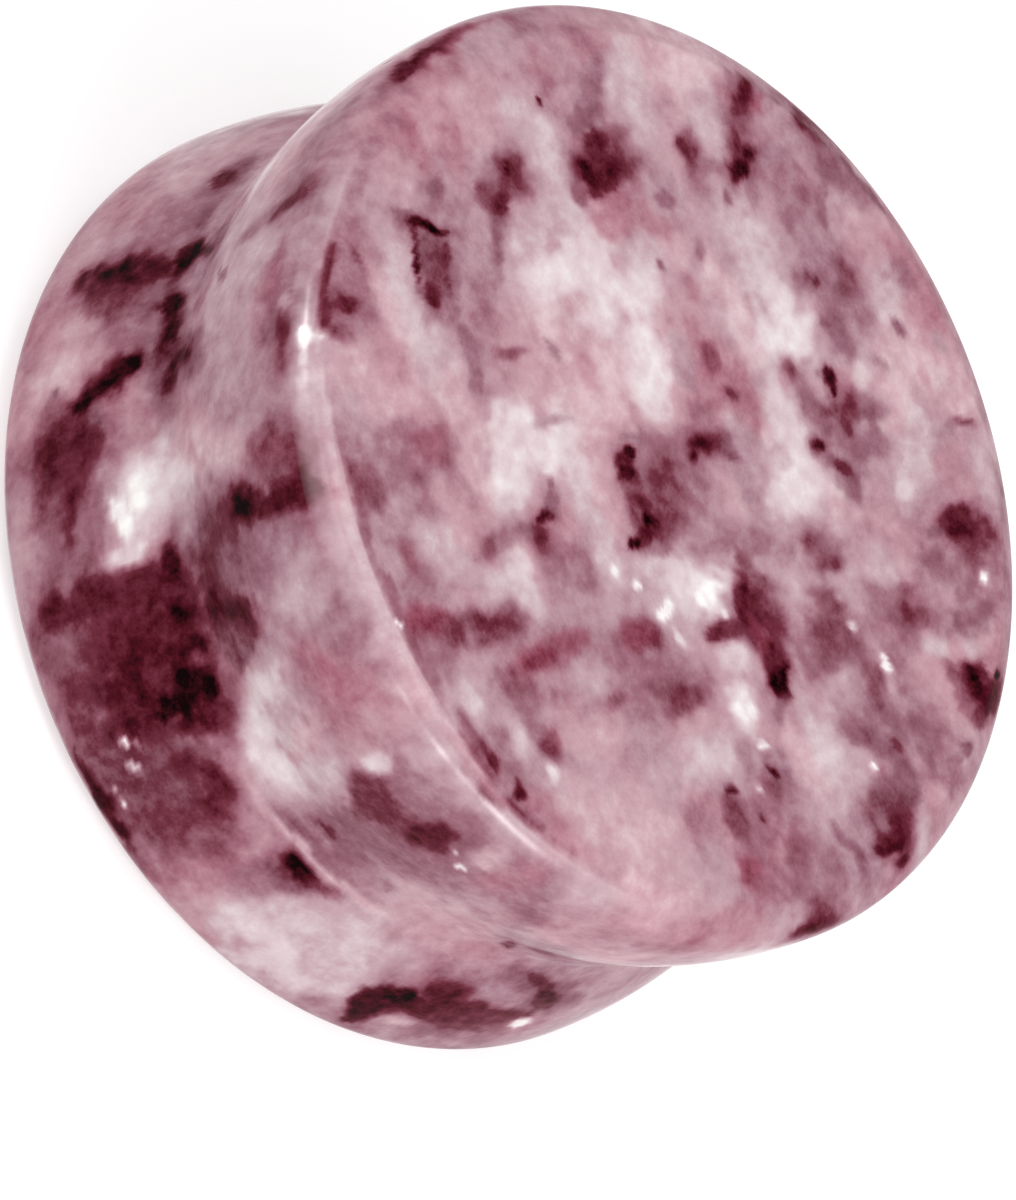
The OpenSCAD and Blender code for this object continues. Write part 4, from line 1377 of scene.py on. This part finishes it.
    def stone_values(self, places: np.ndarray) -> tuple[np.ndarray, np.ndarray]:
        """The stone's look: its clouding, darkened a little in the saddle by painted shade, with every patch
        laid over it in turn.

        Args:
            places: the mesh's points, from the plug's middle.

        Returns:
            The tone and the blush at each point, on the scales of Shade.
        """
        warped = places + np.stack([swirl.at(places) for swirl in self.swirls], axis=1)
        ragged = self.ragged_clouds.at(places)
        # Painted shade: the saddle between the flares is a little darker, fading out over the rims
        saddle = 1.0 - smooth_step((np.abs(places[:, 2]) - self.flare_z) / self.rim_h)
        tone = self.ground_tone + self.tone_clouds.at(places) - self.saddle_shade * saddle
        blush = self.ground_blush + self.blush_clouds.at(places)
        for patch in self.patches():
            share = patch.share(warped, ragged)
            tone += share * (patch.shade.tone - tone)
            blush += share * (patch.shade.blush - blush)
        return tone + self.fine_clouds.at(places), blush

    def rim_bands(self, places: np.ndarray) -> tuple[np.ndarray, np.ndarray, np.ndarray]:
        """Where the bands of the rims lie.

        Args:
            places: the mesh's points, from the plug's middle.

        Returns:
            For each point, a value from 0 to 1 for the land and one for the broken edge between it and the
            lip, and the distance outwards from the middle of the land.
        """
        edge_x, edge_z = self.lip_end
        rise = np.abs(places[:, 2])
        out = np.hypot(places[:, 0], places[:, 1])
        above = smooth_step((rise - edge_z) / self.edge_break)
        outside = smooth_step((out - edge_x + self.land_w) / self.inner_break)
        # Full as far as the edge is broken, and gone half as far again
        off_edge = np.hypot(out - edge_x, rise - edge_z)
        edge = smooth_step(3.0 - 2.0 * off_edge / self.edge_break)
        return above * outside, edge, out - edge_x + self.land_w / 2

    def lay_values(self, mesh: bpy.types.Mesh, places: np.ndarray) -> None:
        """Writes the stone's look and the rims' frost, edge gleam, painted sheen and painted shade to the
        mesh's points.

        Args:
            mesh: the mesh that gets them, as the attributes tone, blush, frost and edge.
            places: its points, from the plug's middle.
        """
        tone, blush = self.stone_values(places)
        frost, edge, outward = self.rim_bands(places)
        forward = -places[:, 1] / np.maximum(np.hypot(places[:, 0], places[:, 1]), self.land_w)
        edge *= np.clip(self.edge_wear + self.edge_clouds.at(places), self.edge_least, 1.0)
        edge *= smooth_step((forward - self.edge_from) / self.front_ease)
        # Painted sheen: it pales the outer half of the front land, and all of it where the land faces the
        # front most
        wider = self.sheen_inward * smooth_step((forward - self.sheen_full_from) / self.sheen_full_ease)
        sheen_share = smooth_step((forward - self.sheen_from) / self.front_ease)
        sheen_share *= smooth_step((outward + wider) / self.inner_break)
        tone += self.land_sheen * sheen_share * frost * (Shade.BLUSH.tone - tone)
        # Painted shade: the land on the far side is darkened a little
        tone -= self.far_shade * frost * smooth_step(self.far_from - forward)
        for name, values in (("tone", tone), ("blush", blush), ("frost", frost), ("edge", edge)):
            layer = mesh.attributes.new(name, "FLOAT", "POINT")
            layer.data.foreach_set("value", values.astype(np.float32))

    def build(self) -> bpy.types.Object:
        """Makes the stone and stands it in for the CAD part's plain one.

        Returns:
            The finished piece.
        """
        mesh, places = self.build_mesh()
        self.lay_values(mesh, places)
        mesh.materials.append(PolishedLepidolite().build())
        piece = bpy.data.objects.new(PIECE, mesh)
        bpy.context.scene.collection.objects.link(piece)
        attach(piece, BODY)
        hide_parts(NODE)
        triangles = sum(len(face.vertices) - 2 for face in mesh.polygons)
        LOG.info("%s: %d triangles", PIECE, triangles)
        return piece


# The stone's own colour by its tone, one for each of its minerals
STONE_TONES = {
    0.03: "#0E0406",  # black tourmaline
    0.15: "#42101A",  # maroon mica
    0.3: "#642E3C",  # wine mica
    0.5: "#906472",  # mauve mica
    0.7: "#B4969E",  # pink quartz
    0.85: "#CEBEC2",  # milky quartz
    1.0: "#EAE8E6",  # white quartz
}


@dataclass(frozen=True)
class PolishedLepidolite:
    """Lepidolite and tourmaline in quartz, turned, lapped and polished.

    Polishing leaves a near-glassy skin over a grainy, cloudy inside: mauve mica, nearly black needles and
    milky quartz, all with soft borders because light goes a little way in.
    """

    # The polished skin, and how rough the land is, which the lap leaves a little frosted, so it glows softly
    roughness: float = 0.1
    frosted: float = 0.22
    ior: float = 1.54
    shine: float = 0.01
    shine_tint: str = "#F8DCE2"

    # The broken edge of the rim, which gleams
    edge_ior: float = 1.9
    edge_roughness: float = 0.28

    # Noise cells of 0.5 mm give grains of about 0.3 mm, with finer ones inside them. They stand out most in
    # dark stone
    grain_mm: float = 0.5
    grain_detail: float = 5.0
    grain_roughness: float = 0.72
    grain_tones: Pair = (0.15, 0.85)
    grain_strengths: Pair = (0.5, 0.2)

    # What the stone's colour is multiplied by where the blush is 1, and where it is -1
    redder: Triple = (1.20, 0.79, 0.88)
    greyer: Triple = (0.98, 1.01, 1.03)

    # The faint waviness that hand polishing leaves
    ripple_mm: float = 1.2
    ripple_detail: float = 2.0
    ripple_deep_mm: float = 0.02
    ripple_strength: float = 0.4

    def build(self) -> bpy.types.Material:
        """Makes the material.

        Returns:
            The material, which reads the attributes tone, blush, frost and edge of its mesh.
        """
        material = bpy.data.materials.new("polished_lepidolite")
        material.use_nodes = True
        tree = material.node_tree
        tree.nodes.clear()
        place = add_node(tree, "TexCoord").outputs["Object"]
        ripple = add_node(
            tree, "TexNoise",
            {"Vector": place, "Scale": 1 / (self.ripple_mm * MM), "Detail": self.ripple_detail},
        )
        bump = add_node(
            tree, "Bump",
            {
                "Height": ripple.outputs["Fac"],
                "Distance": self.ripple_deep_mm * MM,
                "Strength": self.ripple_strength,
            },
        )
        frost = add_node(tree, "Attribute", attribute_name="frost").outputs["Fac"]
        smooth = add_node(
            tree, "MapRange",
            {"Value": frost, "To Min": self.roughness, "To Max": self.frosted},
        )
        skin = add_node(
            tree, "BsdfPrincipled",
            {
                "Base Color": self.stone_colour(tree, place),
                "Roughness": smooth.outputs["Result"],
                "IOR": self.ior,
                "Specular IOR Level": self.shine,
                "Specular Tint": linear(self.shine_tint),
                "Coat Weight": add_node(tree, "Attribute", attribute_name="edge").outputs["Fac"],
                "Coat Roughness": self.edge_roughness,
                "Coat IOR": self.edge_ior,
                "Normal": bump.outputs["Normal"],
            },
        )
        add_node(tree, "OutputMaterial", {"Surface": skin.outputs[0]})
        return material

    def stone_colour(self, tree: bpy.types.NodeTree, place: bpy.types.NodeSocket) -> bpy.types.NodeSocket:
        """The stone's colour by its tone and its blush, with the grain in it.

        Args:
            tree: the material's node tree.
            place: the place in the stone, in metres.

        Returns:
            The socket that gives the colour.
        """
        # The tone holds painted sheen on the front lands and painted shade in the saddle and on the far lands
        tone = add_node(tree, "Attribute", attribute_name="tone").outputs["Fac"]
        grain = add_node(
            tree, "TexNoise",
            {
                "Vector": place,
                "Scale": 1 / (self.grain_mm * MM),
                "Detail": self.grain_detail,
                "Roughness": self.grain_roughness,
            },
        )
        centred = add_node(tree, "Math", {0: grain.outputs["Fac"], 1: 0.5}, operation="SUBTRACT")
        strength = add_node(
            tree, "MapRange",
            {
                "Value": tone,
                "From Min": self.grain_tones[0], "From Max": self.grain_tones[1],
                "To Min": self.grain_strengths[0], "To Max": self.grain_strengths[1],
            },
        )
        full_tone = add_node(
            tree, "Math",
            {0: centred.outputs[0], 1: strength.outputs["Result"], 2: tone},
            operation="MULTIPLY_ADD",
        )
        colour = add_node(tree, "ValToRGB", {"Fac": full_tone.outputs[0]}, stops=STONE_TONES).outputs["Color"]
        blush = add_node(tree, "Attribute", attribute_name="blush").outputs["Fac"]
        for full_at, factor in ((1.0, self.redder), (-1.0, self.greyer)):
            share = add_node(tree, "MapRange", {"Value": blush, "From Min": 0.0, "From Max": full_at})
            mixed = add_node(
                tree, "Mix",
                {0: share.outputs["Result"], 6: colour, 7: (*factor, 1.0)},
                data_type="RGBA", blend_type="MULTIPLY",
            )
            colour = mixed.outputs[2]
        return colour


@dataclass(frozen=True)
class PhotoCamera:
    """The camera at the photograph's angle to the plug, in the photograph's 1016 by 1200 frame.

    Its lens is long, so the plug's two ends look almost equally large. Lengths are in millimetres, and angles
    in degrees.
    """

    tilt: float = 45.68
    roll: float = 21.6
    distance: float = 411.0
    px_per_mm: float = 35.47
    picture: tuple[int, int] = (1016, 1200)
    middle_px: Pair = (513.3, 529.1)
    sensor_mm: float = 36.0
    sees_from: float = 10.0
    sees_to: float = 20_000.0

    def build(self, half_h: float) -> bpy.types.Object:
        """Places the camera and makes it the scene's.

        Args:
            half_h: how high the plug's middle lies over the floor.

        Returns:
            The camera.
        """
        tilt, roll = math.radians(self.tilt), math.radians(90.0 - self.roll)
        toward = Vector((0.0, -math.sin(tilt), math.cos(tilt)))
        level = Vector((1.0, 0.0, 0.0))
        upward = Vector((0.0, math.cos(tilt), math.sin(tilt)))
        right = math.cos(roll) * level + math.sin(roll) * upward
        up = -math.sin(roll) * level + math.cos(roll) * upward
        off_right = (self.middle_px[0] - self.picture[0] / 2) / self.px_per_mm
        off_up = (self.picture[1] / 2 - self.middle_px[1]) / self.px_per_mm
        place = Vector((0.0, 0.0, half_h)) + self.distance * toward - off_right * right - off_up * up
        data = bpy.data.cameras.new("photo_camera")
        data.lens = self.distance * self.px_per_mm / self.picture[1] * self.sensor_mm
        data.sensor_width = self.sensor_mm
        data.clip_start = self.sees_from * MM
        data.clip_end = self.sees_to * MM
        camera = bpy.data.objects.new("photo_camera", data)
        turn = Matrix((right, up, toward)).transposed().to_4x4()
        camera.matrix_world = Matrix.Translation(place * MM) @ turn
        bpy.context.scene.collection.objects.link(camera)
        bpy.context.scene.camera = camera
        return camera


@dataclass(frozen=True)
class SoftBox:
    """One oblong studio light with a diffuser, aimed at the plug. Its lengths are in metres."""

    name: str
    direction: Triple
    along: Triple
    length: float
    width: float
    watts: float
    distance: float = 0.55

    def build(self, aim: Vector) -> bpy.types.Object:
        """Hangs the light up.

        Args:
            aim: the point that it is aimed at, in metres.

        Returns:
            The light.
        """
        data = bpy.data.lights.new(self.name, "AREA")
        data.shape = "RECTANGLE"
        data.size = self.length
        data.size_y = self.width
        data.energy = self.watts
        toward = Vector(self.direction).normalized()
        across = toward.cross(Vector(self.along)).normalized()
        turn = Matrix((across.cross(toward), across, toward)).transposed().to_4x4()
        light = bpy.data.objects.new(self.name, data)
        light.matrix_world = Matrix.Translation(aim + toward * self.distance) @ turn
        bpy.context.scene.collection.objects.link(light)
        return light


@dataclass(frozen=True)
class Studio:
    """The plain pale floor, the pale walls and the soft light of a product photograph."""

    floor_side: float = 6.0
    floor_colour: str = "#C8C8C8"
    floor_roughness: float = 0.9
    floor_shine: float = 0.1
    floor_glow: float = 0.5

    # The walls' light by height, from the horizon up, as the sine of the angle at which they are seen
    horizon: float = 0.45
    zenith: float = 1.26
    wall_rise: Pair = (0.1, 0.7)

    # The dark card that the flat face mirrors: where it hangs, and the cosines between which it fades in
    card_toward: Triple = (0.0, 0.715, 0.699)
    card_fade: Pair = (0.84, 0.95)
    card_glow: float = 0.04

    lights: tuple[SoftBox, ...] = (
        SoftBox(
            "strip_softbox",
            direction=(0.56, -0.39, 0.735), along=(0.73, 0.63, -0.26),
            length=0.30, width=0.11, watts=1.1,
        ),
        SoftBox(
            "glint_lamp",
            direction=(-0.645, -0.294, 0.706), along=(0.0, 1.0, 0.0),
            length=0.06, width=0.06, watts=0.3,
        ),
    )

    def build(self, aim: Vector) -> None:
        """Lays the floor, hangs the lights and puts up the walls.

        Args:
            aim: the point that the lights are aimed at, in metres.
        """
        self.build_floor()
        for light in self.lights:
            light.build(aim)
        self.build_surroundings()
        LOG.info("studio: floor and %d softboxes", len(self.lights))

    def build_floor(self) -> None:
        """Lays the floor: matt white paper, lit a little from behind, so that shadows on it stay faint."""
        half = self.floor_side / 2
        mesh = bpy.data.meshes.new("studio_floor")
        corners = [(-half, -half, 0.0), (half, -half, 0.0), (half, half, 0.0), (-half, half, 0.0)]
        mesh.from_pydata(corners, [], [(0, 1, 2, 3)])
        paper = bpy.data.materials.new("white_paper")
        paper.use_nodes = True
        skin = paper.node_tree.nodes["Principled BSDF"]
        skin.inputs["Base Color"].default_value = linear(self.floor_colour)
        skin.inputs["Roughness"].default_value = self.floor_roughness
        skin.inputs["Specular IOR Level"].default_value = self.floor_shine
        skin.inputs["Emission Color"].default_value = linear("#FFFFFF")
        skin.inputs["Emission Strength"].default_value = self.floor_glow
        mesh.materials.append(paper)
        floor = bpy.data.objects.new("studio_floor", mesh)
        bpy.context.scene.collection.objects.link(floor)

    def build_surroundings(self) -> None:
        """Makes the walls pale and hangs up the dark card, so that the flat face mirrors no light."""
        world = bpy.data.worlds.new("studio")
        world.use_nodes = True
        tree = world.node_tree
        tree.nodes.clear()
        look = add_node(tree, "TexCoord").outputs["Generated"]
        near_card = add_node(tree, "VectorMath", {0: look, 1: self.card_toward}, operation="DOT_PRODUCT")
        card = add_node(
            tree, "MapRange",
            {
                "Value": near_card.outputs["Value"],
                "From Min": self.card_fade[0], "From Max": self.card_fade[1],
                "To Min": 1.0, "To Max": self.card_glow,
            },
            interpolation_type="SMOOTHSTEP",
        )
        height = add_node(tree, "VectorMath", {0: look, 1: (0.0, 0.0, 1.0)}, operation="DOT_PRODUCT")
        walls = add_node(
            tree, "MapRange",
            {
                "Value": height.outputs["Value"],
                "From Min": self.wall_rise[0], "From Max": self.wall_rise[1],
                "To Min": self.horizon, "To Max": self.zenith,
            },
            interpolation_type="SMOOTHSTEP",
        )
        glow = add_node(
            tree, "Math",
            {0: card.outputs["Result"], 1: walls.outputs["Result"]},
            operation="MULTIPLY",
        )
        air = add_node(tree, "Background", {"Color": linear("#FFFFFF"), "Strength": glow.outputs[0]})
        add_node(tree, "OutputWorld", {"Surface": air.outputs[0]})
        bpy.context.scene.world = world
        bpy.context.scene.view_settings.view_transform = "Standard"


def main() -> None:
    """Builds the camera, the stone and the studio, in that order."""
    logging.basicConfig(level=logging.INFO, format="%(name)s: %(message)s")
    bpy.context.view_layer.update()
    stone = StonePlug()
    PhotoCamera().build(stone.half_h)
    stone.build()
    Studio().build(Vector((0.0, 0.0, stone.half_h * MM)))


if __name__ == "__main__":
    main()
